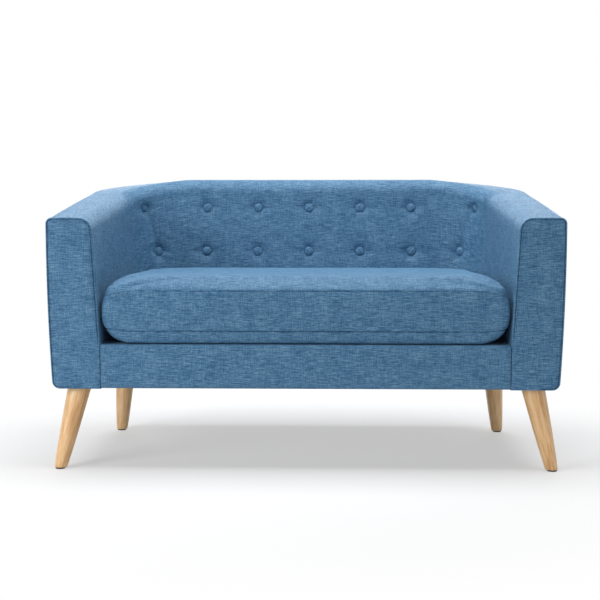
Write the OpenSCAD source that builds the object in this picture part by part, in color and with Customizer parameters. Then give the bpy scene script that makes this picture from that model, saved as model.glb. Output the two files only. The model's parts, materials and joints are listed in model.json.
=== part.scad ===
// Two-seat tub settee: upholstered wooden frame, tufted inside, loose seat cushion, screw-on legs.
// Millimetres, front towards -Y, right-hand side towards +X, floor at Z = 0.

/* [Overall] */
// Width over the arms at their widest
overall_w = 1262; // [1100:1:1500]
// Depth from the front border to the top of the outside back
overall_d = 690; // [620:5:780]
// Height of the back at its middle
overall_h = 725; // [700:5:800]
// Height of the arm tops at the front
arm_h = 620; // [590:5:650]
// Height of the body's underside above the floor
body_z = 200; // [150:5:240]

/* [Tub walls] */
// Thickness of an arm at its front top
arm_t = 108; // [100:1:140]
// How much narrower each arm's inside is at the rear corner
arm_toe = 24; // [0:1:40]
// Thickness of the back at its top
back_t = 120; // [110:1:150]
// How much each side of the shell tapers in towards the rear
side_taper = 13; // [0:1:25]
// Plan radius of the outside rear corners
corner_r = 210; // [180:5:230]
// Plan radius of the inside rear corners at the top
inner_corner_r = 150; // [130:5:160]
// How far the inside of an arm leans out from seat to top
arm_lean = 22; // [0:1:30]
// How far the inside of the back leans back from seat to top
back_lean = 80; // [40:2:100]
// How far the sides draw in at the bottom
side_draw = 11; // [0:1:20]
// How far the outside back rakes in at the bottom
back_rake = 55; // [20:1:70]
// Radius of the inside top edge at the arm fronts
inner_roll_r = 34; // [20:1:45]
// Radius of the outside top edge at the arm fronts
outer_roll_r = 16; // [8:1:24]
// Extra radius that both top edges gain towards the middle of the back
roll_gain = 14; // [0:1:20]
// Radius of the bottom edge of the covers
hem_r = 18; // [8:1:24]
// Thickness of the foam and cover inside
pad_t = 45; // [35:1:50]
// Thickness of the padding over the arm tops
top_pad = 30; // [24:1:36]
// Height of the cover seam below the top outside edge
seam_drop = 24; // [20:1:28]
// Thickness of the outside covers with their lining
cover_t = 5; // [3:0.5:7]
// Width of the cover's fold under the body
hem_fold = 10; // [8:1:16]
// Thickness of the arm front panels and the front border
panel_t = 18; // [14:1:24]

/* [Tufting] */
// Diameter of a covered button
button_d = 25; // [18:1:32]
// Spacing of the buttons along the back
button_pitch = 147; // [120:1:165]
// Height of the upper row
button_upper_z = 643; // [620:1:660]
// Height of the lower row
button_lower_z = 518; // [500:1:540]
// Depth that a button pulls into the padding
tuft_depth = 8; // [4:1:20]
// Reach of the dimple round a button
tuft_reach = 28; // [22:1:50]
// Depth of the crease where the back turns into the arm
crease_depth = 4; // [0:1:10]
// Angle round the corner of the upper corner button
crease_upper_a = 36; // [25:1:50]
// Angle round the corner of the lower corner button
crease_lower_a = 50; // [30:1:60]

/* [Seat] */
// Height of the front border and the seat deck's support
border_top = 306; // [290:1:315]
// Height of the deck that the cushion lies on
deck_z = 310; // [300:1:320]
// Thickness of the deck pad
deck_t = 14; // [8:1:16]
// Thickness of the cushion's border between its seams
border_h = 98; // [80:1:110]
// Height of the crown above the upper seam
crown_up = 32; // [15:1:40]
// Height of the belly below the lower seam
crown_down = 32; // [15:1:36]
// Distance over which the crown rises from the seam
crown_run = 150; // [80:5:180]
// Clearance between the cushion and the arms
cushion_gap = 7; // [4:1:14]
// Plan radius of the cushion's front corners
cushion_front_r = 30; // [20:1:45]
// How far the cushion's long sides pull in at their middle
pull_in = 4; // [0:1:6]
// How far the cushion's border swells between its seams
border_swell = 5; // [0:1:8]
// Wall of the cushion's cover and its wadding
cushion_wall = 14; // [10:1:20]
// Length of the zip in the rear border
zip_l = 640; // [500:10:660]
// Width of the zip's tape
zip_w = 26; // [20:1:30]

/* [Frame] */
// Thickness of the seat rails
rail_t = 28; // [22:1:32]
// Height of the seat rails' top edge
rail_top = 290; // [280:1:294]
// Thickness of the base boards
base_t = 12; // [9:1:15]
// Width of a base board along the side
base_w = 130; // [110:1:140]
// Depth of the rear base board
base_rear_w = 120; // [90:1:130]
// Thickness of the top rails
top_rail_t = 18; // [15:1:21]
// Width of an arm top rail
arm_rail_w = 35; // [28:1:38]
// Width of a post across the settee
post_w = 44; // [36:1:48]
// Thickness of a post
post_t = 32; // [28:1:38]
// Width of an arm post
arm_post_w = 32; // [26:1:34]
// Thickness of the arm lining boards
lining_t = 4; // [3:0.5:5]
// Width of a webbing strap
web_w = 50; // [40:1:60]
// Thickness of a webbing strap
web_t = 2; // [1.5:0.5:3]

/* [Springs] */
// Number of seat springs
spring_n = 6; // [4:1:8]
// Number of bends in a spring
spring_bends = 12; // [8:2:14]
// Width of a spring over its bends
spring_w = 46; // [36:1:54]
// Diameter of the spring wire
wire_d = 3.8; // [3:0.1:4.5]
// Thickness of a spring clip
clip_t = 1.2; // [1:0.1:1.5]

/* [Legs] */
// Diameter of a leg at its top
leg_top_d = 57; // [44:1:62]
// Diameter of a leg at its foot
leg_foot_d = 28; // [24:1:38]
// Distance of the front feet in from the sides of the body
front_foot_in = 25; // [10:1:60]
// Distance of the rear feet in from the sides of the body
rear_foot_in = 88; // [60:1:130]
// Sideways splay of a front leg over its height
splay_x = 43; // [10:1:48]
// Sideways splay of a rear leg over its height
rear_splay_x = 21; // [10:1:48]
// Splay of a leg to the front or the rear over its height
splay_y = 38; // [10:1:48]
// Distance of the rear feet from the rear of the body
rear_foot_y = 173; // [130:1:240]
// Thickness of a floor glide
glide_t = 4; // [2:0.5:6]
// Diameter of a floor glide
glide_d = 24; // [18:1:30]
// Diameter of a hanger bolt
bolt_d = 8; // [6:1:10]
// Length of a hanger bolt
bolt_l = 64; // [50:1:70]
// Side of a leg plate
plate_w = 48; // [44:1:54]
// Thickness of a leg plate
plate_t = 2.5; // [2:0.1:4]
// Height of a corner block
block_h = 46; // [36:1:60]

/* [Hidden] */
$fn = 48;

fabric = "#5a82a6";
fabric_dark = "#4a6f93";
lining = "#d8d2c4";
timber = "#cfa06c";
softwood = "#dcc196";
steel = "#9aa0a6";
foam = "#efe6c8";
felt = "#3c4148";

// Running clearances and overruns
snug = 0.3;
cover_gap = 2;
overrun = 20;
half = 1 / 2;

// Main planes
front_y = -overall_d / 2;
rear_y = overall_d / 2;
panel_back_y = front_y + panel_t;
half_w = overall_w / 2;
pad_z = deck_z - 10 * snug;
lean_top_z = overall_h - inner_roll_r;
draw_top_z = arm_h - 3 * hem_r;
rake_top_z = overall_h - 2 * inner_roll_r;

// Pivot of the corner sections
pivot_x = half_w - arm_t - arm_toe - inner_corner_r;
pivot_y = rear_y - back_t - inner_corner_r;

// Lengths along the wall, for the rise of its top line
arm_run = pivot_y - front_y;
corner_run = (half_w - side_taper - pivot_x) + (rear_y - pivot_y) - (2 - PI / 2) * corner_r;
wall_run = arm_run + corner_run + pivot_x;
rise_power = 2.1;

function lerp(a, b, t) = a + (b - a) * t;
function clamp01(t) = min(1, max(0, t));

// Share of the way along the wall at section p: arm 0 to 1, corner 1 to 2, half the back 2 to 3
function run_share(p) =
    (p <= 1 ? p * arm_run
    : p <= 2 ? arm_run + (p - 1) * corner_run
    : arm_run + corner_run + (p - 2) * pivot_x) / wall_run;
function top_z(p) = overall_h - (overall_h - arm_h) * pow(1 - run_share(p), rise_power);
function seam_z(p) = top_z(p) - seam_drop;
function under_z(p) = top_z(min(p, 1)) - top_pad;

// Distance from the corner pivot to a rounded corner along angle a
function ray_hit(a, side, rear, r) =
    let (
        dx = max(cos(a), 1e-6), dy = max(sin(a), 1e-6),
        to_side = (side - pivot_x) / dx, to_rear = (rear - pivot_y) / dy,
        kx = pivot_x - (side - r), ky = pivot_y - (rear - r),
        along = -(kx * dx + ky * dy),
        off = kx * kx + ky * ky - r * r
    )
    pivot_y + to_side * dy <= rear - r ? to_side
    : pivot_x + to_rear * dx <= side - r ? to_rear
    : along + sqrt(max(0, along * along - off));

// Distance of an outline from its section's pivot line: front half width, rear half width, rear, radius
function reach(p, w_front, w_rear, rear, r) =
    let (over = lerp(panel_back_y, pivot_y, p) - (rear - r))
    p < 1 ? lerp(w_front, w_rear, p) - (over > 0 ? r - sqrt(r * r - over * over) : 0)
    : p <= 2 ? ray_hit((p - 1) * 90, w_rear, rear, r)
    : rear;

// Outer face of the wall, with its draw at the bottom and its rounded hem
function hem_in(z) = z < body_z + hem_r ? hem_r - sqrt(max(0, pow(hem_r, 2) - pow(body_z + hem_r - z, 2))) : 0;
function draw_in(z) = side_draw * pow(clamp01((draw_top_z - z) / (draw_top_z - body_z)), 2);
function rake_in(z) = back_rake * pow(clamp01((rake_top_z - z) / (rake_top_z - body_z)), 1.3);
function outer(p, z, inset = 0) =
    let (side_in = draw_in(z) + hem_in(z) + inset, rear_in = rake_in(z) + hem_in(z) + inset)
    reach(p, half_w - side_in, half_w - side_taper - side_in, rear_y - rear_in, corner_r - inset);

// Inner face of the wall, leaning out from the seat up
function lean_share(z) = clamp01((lean_top_z - z) / (lean_top_z - pad_z));
function inner(p, z, outset = 0) =
    let (w = lean_share(z), side = half_w - arm_t - w * arm_lean + outset)
    reach(p, side, side - arm_toe, rear_y - back_t - w * back_lean + outset,
          inner_corner_r - w * arm_lean + outset);

// A point of section p at distance d from its pivot line
function place(p, d, z) =
    p < 1 ? [d, lerp(panel_back_y, pivot_y, p), z]
    : p <= 2 ? [pivot_x + d * cos((p - 1) * 90), pivot_y + d * sin((p - 1) * 90), z]
    : [lerp(pivot_x, 0, p - 2), d, z];
function flip(v) = [-v[0], v[1], v[2]];
function outer_x(p, z, inset = 0) = place(p, outer(p, z, inset), z)[0];

// Buttons of the right half: section and height
function back_p(x) = 3 - x / pivot_x;
button_places = [
    [back_p(0), button_upper_z], [back_p(button_pitch), button_upper_z],
    [back_p(2 * button_pitch), button_upper_z], [1 + crease_upper_a / 90, button_upper_z],
    [back_p(0), button_lower_z], [back_p(button_pitch), button_lower_z],
    [back_p(2 * button_pitch), button_lower_z], [1 + crease_lower_a / 90, button_lower_z]
];
button_points = [for (b = button_places) place(b[0], inner(b[0], b[1]), b[1])];
tuft_points = concat(button_points, [for (b = button_points) if (b[0] > snug) flip(b)]);

// Dimples round the buttons and the crease through the corner pair
function tuft(v) = let (near = [for (b = tuft_points) exp(-pow(norm(v - b) / tuft_reach, 2))]) tuft_depth * max(near);
function crease_a(z) =
    lerp(crease_lower_a, crease_upper_a, clamp01((z - button_lower_z) / (button_upper_z - button_lower_z)));
function crease(p, z) =
    let (arc = ((p - 1) * 90 - crease_a(z)) * PI / 180 * inner_corner_r)
    crease_depth * exp(-pow(arc / (tuft_reach * half), 2));
function padded(p, z) = let (d = inner(p, z)) d + tuft(place(p, d, z)) + crease(p, z);

// Rolled top edge of a section, from its inside to its outside
roll_steps = 3;
function roll_in(p) = inner_roll_r + roll_gain * run_share(p);
function roll_out(p) = outer_roll_r + roll_gain * half * run_share(p);
function rolled_top(p) =
    let (z = top_z(p), ri = roll_in(p), ro = min(roll_out(p), seam_drop - snug),
         di = inner(p, z - ri), dn = outer(p, z - ro))
    concat(
        [for (i = [1 : roll_steps]) let (a = 90 * i / roll_steps) [di + ri * (1 - cos(a)), z - ri * (1 - sin(a))]],
        [for (i = [0 : roll_steps]) let (a = 90 * i / roll_steps) [dn - ro * (1 - sin(a)), z - ro * (1 - cos(a))]]);

// Section of the inside pad: padded face, rolled top, seam, then the hidden side back down
crease_upper_p = 1 + crease_upper_a / 90;
crease_lower_p = 1 + crease_lower_a / 90;
crease_p = (crease_upper_p + crease_lower_p) * half;
row_gap = button_upper_z - button_lower_z;
level_shares = [-0.75, -0.36, -0.13, 0, 0.13, 0.34, 0.66, 0.87, 1, 1.12];
function face_top(p) = top_z(p) - roll_in(p);
function level_z(p, z) = pad_z + (z - pad_z) * min(1, (face_top(p) - pad_z) / (face_top(crease_p) - pad_z));
function face_zs(p) = concat(
    [pad_z], [for (share = level_shares) level_z(p, button_lower_z + share * row_gap)], [face_top(p)]);
function pad_section(p) =
    concat(
        [for (z = face_zs(p)) [padded(p, z), z]],
        rolled_top(p),
        [[outer(p, seam_z(p)), seam_z(p)],
         [outer(p, seam_z(p), cover_t), seam_z(p)],
         [outer(p, under_z(p), cover_t + cover_gap), under_z(p)],
         [inner(p, under_z(p)) + pad_t, under_z(p)],
         [inner(p, pad_z) + pad_t, pad_z]]);

// Section of an outside cover: skin, fold under the body, lining side
skin_steps = 6;
hem_steps = 3;
function hem_zs() = [for (i = [0 : hem_steps]) body_z + hem_r * (1 - cos(90 * i / hem_steps))];
function skin_zs(p) = concat(
    [for (i = [0 : skin_steps - 1]) lerp(seam_z(p) - snug, body_z + hem_r, i / skin_steps)],
    [for (i = [0 : hem_steps]) hem_zs()[hem_steps - i]]);
fold_t = 2;
function cover_section(p) =
    let (zs = skin_zs(p), low = body_z + fold_t)
    concat(
        [for (z = zs) [outer(p, z), z]],
        [[outer(p, body_z) - hem_fold, body_z], [outer(p, body_z) - hem_fold, low], [outer(p, body_z), low]],
        [for (i = [len(zs) - 2 : -1 : 0]) let (z = zs[i]) if (z > low + cover_t) [outer(p, z, cover_t), z]]);

// Section of the board that lines an arm
function lining_section(p) = [
    [inner(p, pad_z) + pad_t + snug, pad_z],
    [inner(p, under_z(p)) + pad_t + snug, under_z(p) - snug],
    [inner(p, under_z(p)) + pad_t + snug + lining_t, under_z(p) - snug],
    [inner(p, pad_z) + pad_t + snug + lining_t, pad_z]];

// Closed skin over a row of rings that have the same number of points
module skin(rings) {
    n = len(rings[0]);
    m = len(rings);
    points = [for (ring = rings) each ring];
    sides = [for (j = [0 : m - 2], i = [0 : n - 1])
        let (a = j * n + i, b = j * n + (i + 1) % n, c = a + n, d = b + n)
        each [[a, b, d], [a, d, c]]];
    caps = [[for (i = [n - 1 : -1 : 0]) i], [for (i = [0 : n - 1]) (m - 1) * n + i]];
    polyhedron(points = points, faces = concat(sides, caps), convexity = 10);
}
module mirrored(right) {
    if (right) children();
    else mirror([1, 0, 0]) children();
}

// Rows of sections: along the arm, round the corner, across the back
arm_steps = 8;
corner_steps = 6;
pitch_steps = 6;
function arm_corner() = concat(
    [for (i = [0 : corner_steps]) lerp(1, crease_upper_p, i / corner_steps)],
    [(crease_upper_p + crease_p) * half, crease_p]);
function back_corner() = concat(
    [crease_p, (crease_p + crease_lower_p) * half],
    [for (i = [0 : corner_steps]) lerp(crease_lower_p, 2, i / corner_steps)]);
function arm_row() = concat([for (i = [0 : arm_steps - 1]) i / arm_steps], arm_corner());
function back_row() =
    let (n = ceil(pivot_x / grid_step) - 1)
    concat(back_corner(), [for (i = [n : -1 : 0]) back_p(i * grid_step)]);
function cover_arm_row() = concat([for (i = [0 : 2]) i / 3], arm_corner());
function cover_back_row() = concat(back_corner(), [2 + half, 3]);

module inside_arm(right) {
    color(fabric) mirrored(right)
        skin([for (p = arm_row()) [for (q = pad_section(p)) place(p, q[0], q[1])]]);
}
module inside_arm_left() { inside_arm(false); }
module inside_arm_right() { inside_arm(true); }

module inside_back() {
    row = back_row();
    right = [for (p = row) [for (q = pad_section(p)) place(p, q[0], q[1])]];
    left = [for (i = [len(row) - 2 : -1 : 0]) [for (v = right[i]) flip(v)]];
    color(fabric) skin(concat(right, left));
}

// Covered buttons, domed, each square to the padding under it and resting on the dimple's sides
button_rim = button_d / 10;
button_rise = button_d / 6;
dome_r = (pow(button_d / 2, 2) + pow(button_rise, 2)) / (2 * button_rise);
grid_step = button_pitch / pitch_steps;
button_seat = tuft_depth * (1 - exp(-pow(grid_step / tuft_reach, 2))) * button_d / 2 / grid_step + 2 * snug;
corner_seat = pow(button_d / 2, 2) / (2 * (inner_corner_r - arm_lean))
    + crease_depth * (1 - exp(-pow(button_d / tuft_reach, 2))) + 3 * snug;
upper_corner_seat = corner_seat - 5 * snug;
module covered_button() {
    cylinder(d = button_d, h = button_rim);
    translate([0, 0, button_rim]) intersection() {
        translate([0, 0, button_rise - dome_r]) sphere(r = dome_r);
        cylinder(d = button_d, h = button_rise);
    }
}
module tufting_buttons() {
    color(fabric_dark) for (b = button_places, side = [1, -1]) {
        p = b[0];
        v = place(p, padded(p, b[1]), b[1]);
        corner = p < 2;
        lift = !corner ? 0 : b[1] > button_lower_z ? upper_corner_seat : corner_seat;
        lean_a = atan((corner ? (arm_lean + back_lean) * half : back_lean) / (lean_top_z - pad_z));
        if (side > 0 || v[0] > snug)
            mirrored(side > 0) translate(v) rotate([0, 0, corner ? (p - 1) * 90 : 90])
                rotate([0, lean_a - 90, 0]) translate([0, 0, button_seat + lift])
                    covered_button();
    }
}

module outside_arm(right) {
    color(fabric_dark) mirrored(right)
        skin([for (p = cover_arm_row()) let (ring = cover_section(p))
            [for (i = [len(ring) - 1 : -1 : 0]) place(p, ring[i][0], ring[i][1])]]);
}
module outside_arm_left() { outside_arm(false); }
module outside_arm_right() { outside_arm(true); }
module outside_back() {
    row = cover_back_row();
    right = [for (p = row) let (ring = cover_section(p))
        [for (i = [len(ring) - 1 : -1 : 0]) place(p, ring[i][0], ring[i][1])]];
    left = [for (i = [len(row) - 2 : -1 : 0]) [for (v = right[i]) flip(v)]];
    color(fabric_dark) skin(concat(right, left));
}

// Arm front panel: the outline of the wall's first section
module arm_front(right) {
    face = [for (z = face_zs(0)) [inner(0, z), z]];
    skin_side = [for (z = skin_zs(0)) [outer(0, z), z]];
    outline = concat([[inner(0, pad_z), body_z]], face, rolled_top(0), skin_side);
    color(fabric) mirrored(right)
        translate([0, panel_back_y, 0]) rotate([90, 0, 0]) linear_extrude(panel_t) polygon(outline);
}
module arm_front_left() { arm_front(false); }
module arm_front_right() { arm_front(true); }

module front_border() {
    w = 2 * inner(0, pad_z) - 2 * snug;
    edge_r = panel_t * half;
    color(fabric) translate([-w / 2, panel_back_y, body_z]) rotate([90, 0, 90]) linear_extrude(w)
        union() {
            translate([-panel_t, hem_r - fold_t]) square([panel_t, border_top - body_z - hem_r + fold_t - edge_r]);
            translate([-edge_r, border_top - body_z - edge_r]) circle(edge_r);
            translate([-panel_t, 0]) intersection() {
                square([panel_t, hem_r]);
                translate([hem_r, hem_r]) circle(hem_r);
            }
        }
}

// Plan of the seat inside the walls, shrunk by inset: a rounded front, tapered sides, round rear corners
seat_side = inner(0, pad_z);
seat_rear = rear_y - back_t - back_lean;
seat_mid_y = (front_y + seat_rear) * half;
seat_half_d = (seat_rear - front_y) * half;
function arc_pts(cx, cy, r, a0, a1, n) =
    [for (i = [0 : n]) let (a = lerp(a0, a1, i / n)) [cx + r * cos(a), cy + r * sin(a)]];
function seat_plan(gap, front, r_front, pull) =
    let (
        w0 = seat_side - gap, w1 = seat_side - arm_toe - gap, rear = seat_rear - gap,
        r_rear = inner_corner_r - arm_lean - gap, y_side = rear - r_rear,
        right = concat(
            [for (i = [0 : 5]) let (x = (w0 - r_front) * i / 6) [x, front + pull * (1 - pow(x / w0, 2))]],
            arc_pts(w0 - r_front, front + r_front, r_front, -90, 0, 4),
            [for (i = [1 : 5]) let (f = i / 6)
                [lerp(w0, w1, f) - pull * 4 * f * (1 - f), lerp(front + r_front, y_side, f)]],
            arc_pts(w1 - r_rear, y_side, r_rear, 0, 90, 8),
            [for (i = [1 : 5]) [(w1 - r_rear) * (1 - i / 6), rear]]),
        n = len(right))
    concat(right, [[0, rear]], [for (i = [n - 1 : -1 : 1]) [-right[i][0], right[i][1]]]);
function shrink(v, d) = [
    v[0] * (seat_side - d) / seat_side,
    seat_mid_y + (v[1] - seat_mid_y) * (seat_half_d - d) / seat_half_d];

// Cushion: belly, border between two seams, crown
cushion_z = deck_z + snug;
seam_low_z = cushion_z + crown_down;
seam_up_z = seam_low_z + border_h;
cushion_front_y = front_y + border_swell + snug;
cushion_plan = seat_plan(cushion_gap, cushion_front_y, cushion_front_r, pull_in);
cushion_rear_y = seat_rear - cushion_gap;
crown_shares = [0.05, 0.15, 0.32, 0.6, 1];
belly_shares = [1, 0.55, 0.25, 0.08];
belly_run_share = 0.4;
border_shares = [0, 0.25, 0.5, 0.75, 1];
function swell(v, f) =
    let (side = clamp01((cushion_rear_y - v[1]) / cushion_front_r), k = border_swell * sin(180 * f) * side)
    shrink(v, -k);
module cushion_skin() {
    belly = [for (f = belly_shares) [for (v = cushion_plan)
        let (q = shrink(v, f * crown_run * belly_run_share)) [q[0], q[1], seam_low_z - crown_down * sin(90 * f)]]];
    border = [for (f = border_shares) [for (v = cushion_plan)
        let (q = swell(v, f)) [q[0], q[1], lerp(seam_low_z, seam_up_z, f)]]];
    crown = [for (f = crown_shares) [for (v = cushion_plan)
        let (q = shrink(v, f * crown_run)) [q[0], q[1], seam_up_z + crown_up * sin(90 * pow(f, 0.75))]]];
    skin([for (ring = concat(belly, border, crown)) [for (v = ring) v]]);
}
module foam_block(grow = 0) {
    translate([0, 0, seam_low_z - grow]) linear_extrude(border_h + 2 * grow)
        polygon(seat_plan(cushion_gap + cushion_wall - grow, cushion_front_y + cushion_wall - grow, cushion_front_r, 0));
}
module cushion_cover() {
    color(fabric) difference() {
        cushion_skin();
        foam_block(snug);
    }
}
module cushion_foam() { color(foam) foam_block(); }

// Zip in the rear border: tape, coil, end stops, and the slider with its pull
zip_z = (seam_low_z + seam_up_z) * half;
tape_t = 1;
coil_w = 6;
coil_t = 1.6;
slider_l = 11;
slider_w = 9;
slider_t = 3;
pull_l = 22;
pull_w = 6;
module cushion_zip() {
    color(felt) {
        translate([-zip_l / 2, cushion_rear_y, zip_z - zip_w / 2]) cube([zip_l, tape_t, zip_w]);
        translate([-zip_l / 2, cushion_rear_y + tape_t, zip_z - coil_w / 2]) cube([zip_l, coil_t, coil_w]);
    }
}
slider_x = -(zip_l / 2 - slider_l);
module zip_slider() {
    y = cushion_rear_y + tape_t + coil_t + snug;
    color(steel) translate([slider_x, y, zip_z]) {
        translate([-slider_l / 2, 0, -slider_w / 2]) cube([slider_l, slider_t, slider_w]);
        translate([0, slider_t + tape_t, slider_w / 2]) rotate([90, 0, 0]) linear_extrude(tape_t)
            difference() {
                union() {
                    translate([-pull_w / 2, -pull_l]) square([pull_w, pull_l - pull_w / 2]);
                    translate([0, -pull_w / 2]) circle(d = pull_w);
                }
                translate([0, pull_w - pull_l]) circle(d = pull_w / 2);
            }
    }
}

// Deck pad over the springs
module deck_pad() {
    color(felt) translate([0, 0, deck_z - deck_t]) linear_extrude(deck_t)
        polygon(seat_plan(4 * snug, panel_back_y + snug, cushion_front_r / 2, 0));
}

// Seat rails on the base boards
base_top = body_z + fold_t + base_t;
rail_h = rail_top - base_top;
brace_share = 0.65;
post_foot_y = seat_rear + pad_t + web_t + 2 * snug;
rear_rail_y = post_foot_y - rail_t;
front_rail_back_y = panel_back_y + rail_t;
front_post_x = outer(0, body_z) + hem_r * half;
rear_post_x = outer_x(1, body_z) + hem_r * half;
side_rail_x = seat_side - arm_toe + pad_t - rail_t * half;
front_rail_half = front_post_x - arm_post_w;
module front_rail() {
    color(softwood) translate([-front_rail_half, panel_back_y, base_top])
        cube([2 * front_rail_half, rail_t, rail_h]);
}
module rear_rail() {
    w = side_rail_x + rail_t;
    color(softwood) translate([-w, rear_rail_y, base_top]) cube([2 * w, rail_t, rail_h]);
}
module side_rail(right) {
    color(softwood) difference() {
        mirrored(right) translate([side_rail_x, front_rail_back_y, base_top])
            cube([rail_t, rear_rail_y - front_rail_back_y, rail_h]);
        bolt_holes();
    }
}
module side_rail_left() { side_rail(false); }
module side_rail_right() { side_rail(true); }
module centre_brace() {
    color(softwood) translate([-rail_t / 2, front_rail_back_y, base_top])
        cube([rail_t, rear_rail_y - front_rail_back_y, rail_h * brace_share]);
}

// Base boards, cut from the plan of the body's underside
function bottom_half_plan(inset) = concat(
    [[outer(0, body_z) - inset, panel_back_y]],
    [for (p = concat([for (i = [1 : 3]) i / 3], [for (i = [1 : 9]) 1 + i / 9]))
        let (v = place(p, outer(p, body_z, inset), 0)) [v[0], v[1]]]);
module bottom_plan(inset = 0) {
    right = bottom_half_plan(inset);
    n = len(right);
    polygon(concat(right, [for (i = [n - 1 : -1 : 0]) [-right[i][0], right[i][1]]]));
}
base_rear_y = rear_y - back_rake - hem_r - base_rear_w;
base_inner_x = outer(0, body_z) - base_w;
module base_slab() { translate([0, 0, body_z + fold_t]) linear_extrude(base_t) bottom_plan(snug); }
module base_board(right) {
    color(softwood) difference() {
        intersection() {
            base_slab();
            mirrored(right) translate([base_inner_x, front_y, body_z])
                cube([half_w, base_rear_y - front_y, rail_h]);
        }
        bolt_holes();
    }
}
module base_board_left() { base_board(false); }
module base_board_right() { base_board(true); }
module base_board_rear() {
    color(softwood) intersection() {
        base_slab();
        translate([-half_w, base_rear_y, body_z]) cube([overall_w, overall_d, rail_h]);
    }
}

// Legs: foot centre, and how far the foot stands out from the leg's top
front_foot_y = front_y + leg_foot_d * half;
front_foot_x = half_w - front_foot_in;
rear_foot_x = half_w - rear_foot_in;
rear_foot_at = rear_y - rear_foot_y;
leg_feet = [
    [-front_foot_x, front_foot_y, -splay_x, -splay_y], [front_foot_x, front_foot_y, splay_x, -splay_y],
    [-rear_foot_x, rear_foot_at, -rear_splay_x, splay_y], [rear_foot_x, rear_foot_at, rear_splay_x, splay_y]];
leg_z = body_z + fold_t - plate_t;
function leg_top(f) = [f[0] - f[2], f[1] - f[3], body_z];
function leg_l(f) = norm([f[2], f[3], body_z]);
function leg_tilt(f) = atan(norm([f[2], f[3]]) / body_z);
module on_leg_axis(f) {
    translate([f[0], f[1], 0]) rotate([0, leg_tilt(f), atan2(-f[3], -f[2])]) children();
}
module bolt(d) {
    for (f = leg_feet) translate(leg_top(f)) translate([0, 0, -bolt_l / 2]) cylinder(d = d, h = bolt_l);
}
module bolt_holes() { bolt(bolt_d + snug); }
leg_bulge = 0.72;
leg_steps = 8;
function leg_r(f) = lerp(leg_foot_d, leg_top_d, pow(f, leg_bulge)) * half;
module leg(f) {
    l = leg_l(f);
    over = overrun * leg_steps / l;
    color(timber) difference() {
        on_leg_axis(f) intersection() {
            rotate_extrude() polygon(concat(
                [[0, -overrun], [lerp(leg_r(0), leg_r(1 / leg_steps), -over), -overrun]],
                [for (i = [1 : leg_steps - 1]) [leg_r(i / leg_steps), l * i / leg_steps]],
                [[lerp(leg_r(1 - 1 / leg_steps), leg_r(1), 1 + over), l + overrun], [0, l + overrun]]));
            rotate([0, -leg_tilt(f), 0]) translate([-overall_w, -overall_d, glide_t])
                cube([2 * overall_w, 2 * overall_d, leg_z - glide_t]);
        }
        bolt_holes();
    }
}
module leg_front_left() { leg(leg_feet[0]); }
module leg_front_right() { leg(leg_feet[1]); }
module leg_rear_left() { leg(leg_feet[2]); }
module leg_rear_right() { leg(leg_feet[3]); }
module hanger_bolts() { color(steel) bolt(bolt_d); }
module plate_square(grow = 0) {
    for (f = leg_feet) let (t = leg_top(f))
        translate([t[0] - plate_w / 2 - grow, t[1] - plate_w / 2 - grow]) square(plate_w + 2 * grow);
}
module leg_plates() {
    color(steel) difference() {
        translate([0, 0, leg_z]) linear_extrude(plate_t) plate_square();
        bolt_holes();
    }
}
glide_chamfer = 1;
module foot_glides() {
    color(felt) for (f = leg_feet) translate([f[0], f[1], 0]) {
        cylinder(d1 = glide_d - 2 * glide_chamfer, d2 = glide_d, h = glide_chamfer);
        translate([0, 0, glide_chamfer]) cylinder(d = glide_d, h = glide_t - glide_chamfer);
    }
}

// Corner blocks on the base boards, each against its rails; a front leg's bolt runs through its block, a rear leg's into the side rail
block_share = 1.3;
block_l = plate_w * block_share;
module corner_blocks() {
    color(softwood) difference() {
        for (right = [false, true]) mirrored(right) {
            translate([side_rail_x + rail_t, front_rail_back_y, base_top])
                cube([front_rail_half - side_rail_x - rail_t, block_l, block_h]);
            translate([base_inner_x, rear_rail_y - block_l, base_top])
                cube([side_rail_x - base_inner_x, block_l, block_h]);
        }
        bolt_holes();
    }
}

// Dust cover inside the covers' folds, cut out round the leg plates
dust_t = 1;
module dust_cover() {
    color(felt) translate([0, 0, body_z + fold_t - dust_t]) linear_extrude(dust_t) difference() {
        bottom_plan(hem_fold + snug);
        plate_square(snug);
    }
}

// Upper frame
arm_rail_top = [under_z(0) - snug, under_z(1) - snug];
rail_low = [arm_rail_top[0] - top_rail_t, arm_rail_top[1] - top_rail_t];
function arm_line(zs, y) = lerp(zs[0], zs[1], (y - panel_back_y) / (pivot_y - panel_back_y));
// Side profile in Y and Z, extruded across the settee from x0 over w
module across(x0, w, profile) {
    translate([x0, 0, 0]) rotate([90, 0, 90]) linear_extrude(w) polygon(profile);
}
module arm_post(x, y, w, t) {
    across(x - w, w, [[y, base_top], [y + t, base_top], [y + t, arm_line(rail_low, y + t)], [y, arm_line(rail_low, y)]]);
}
module arm_posts(right) {
    color(softwood) mirrored(right) {
        arm_post(front_post_x, panel_back_y, arm_post_w, post_t);
        arm_post(rear_post_x, pivot_y - post_w, arm_post_w, post_w);
    }
}
module arm_posts_left() { arm_posts(false); }
module arm_posts_right() { arm_posts(true); }
module arm_top_rail(right) {
    color(softwood) mirrored(right) across(outer_x(1, arm_h, cover_t + snug) - arm_rail_w, arm_rail_w, [
        [panel_back_y, rail_low[0]], [pivot_y, rail_low[1]],
        [pivot_y, arm_rail_top[1]], [panel_back_y, arm_rail_top[0]]]);
}
module arm_top_rail_left() { arm_top_rail(false); }
module arm_top_rail_right() { arm_top_rail(true); }

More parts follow.
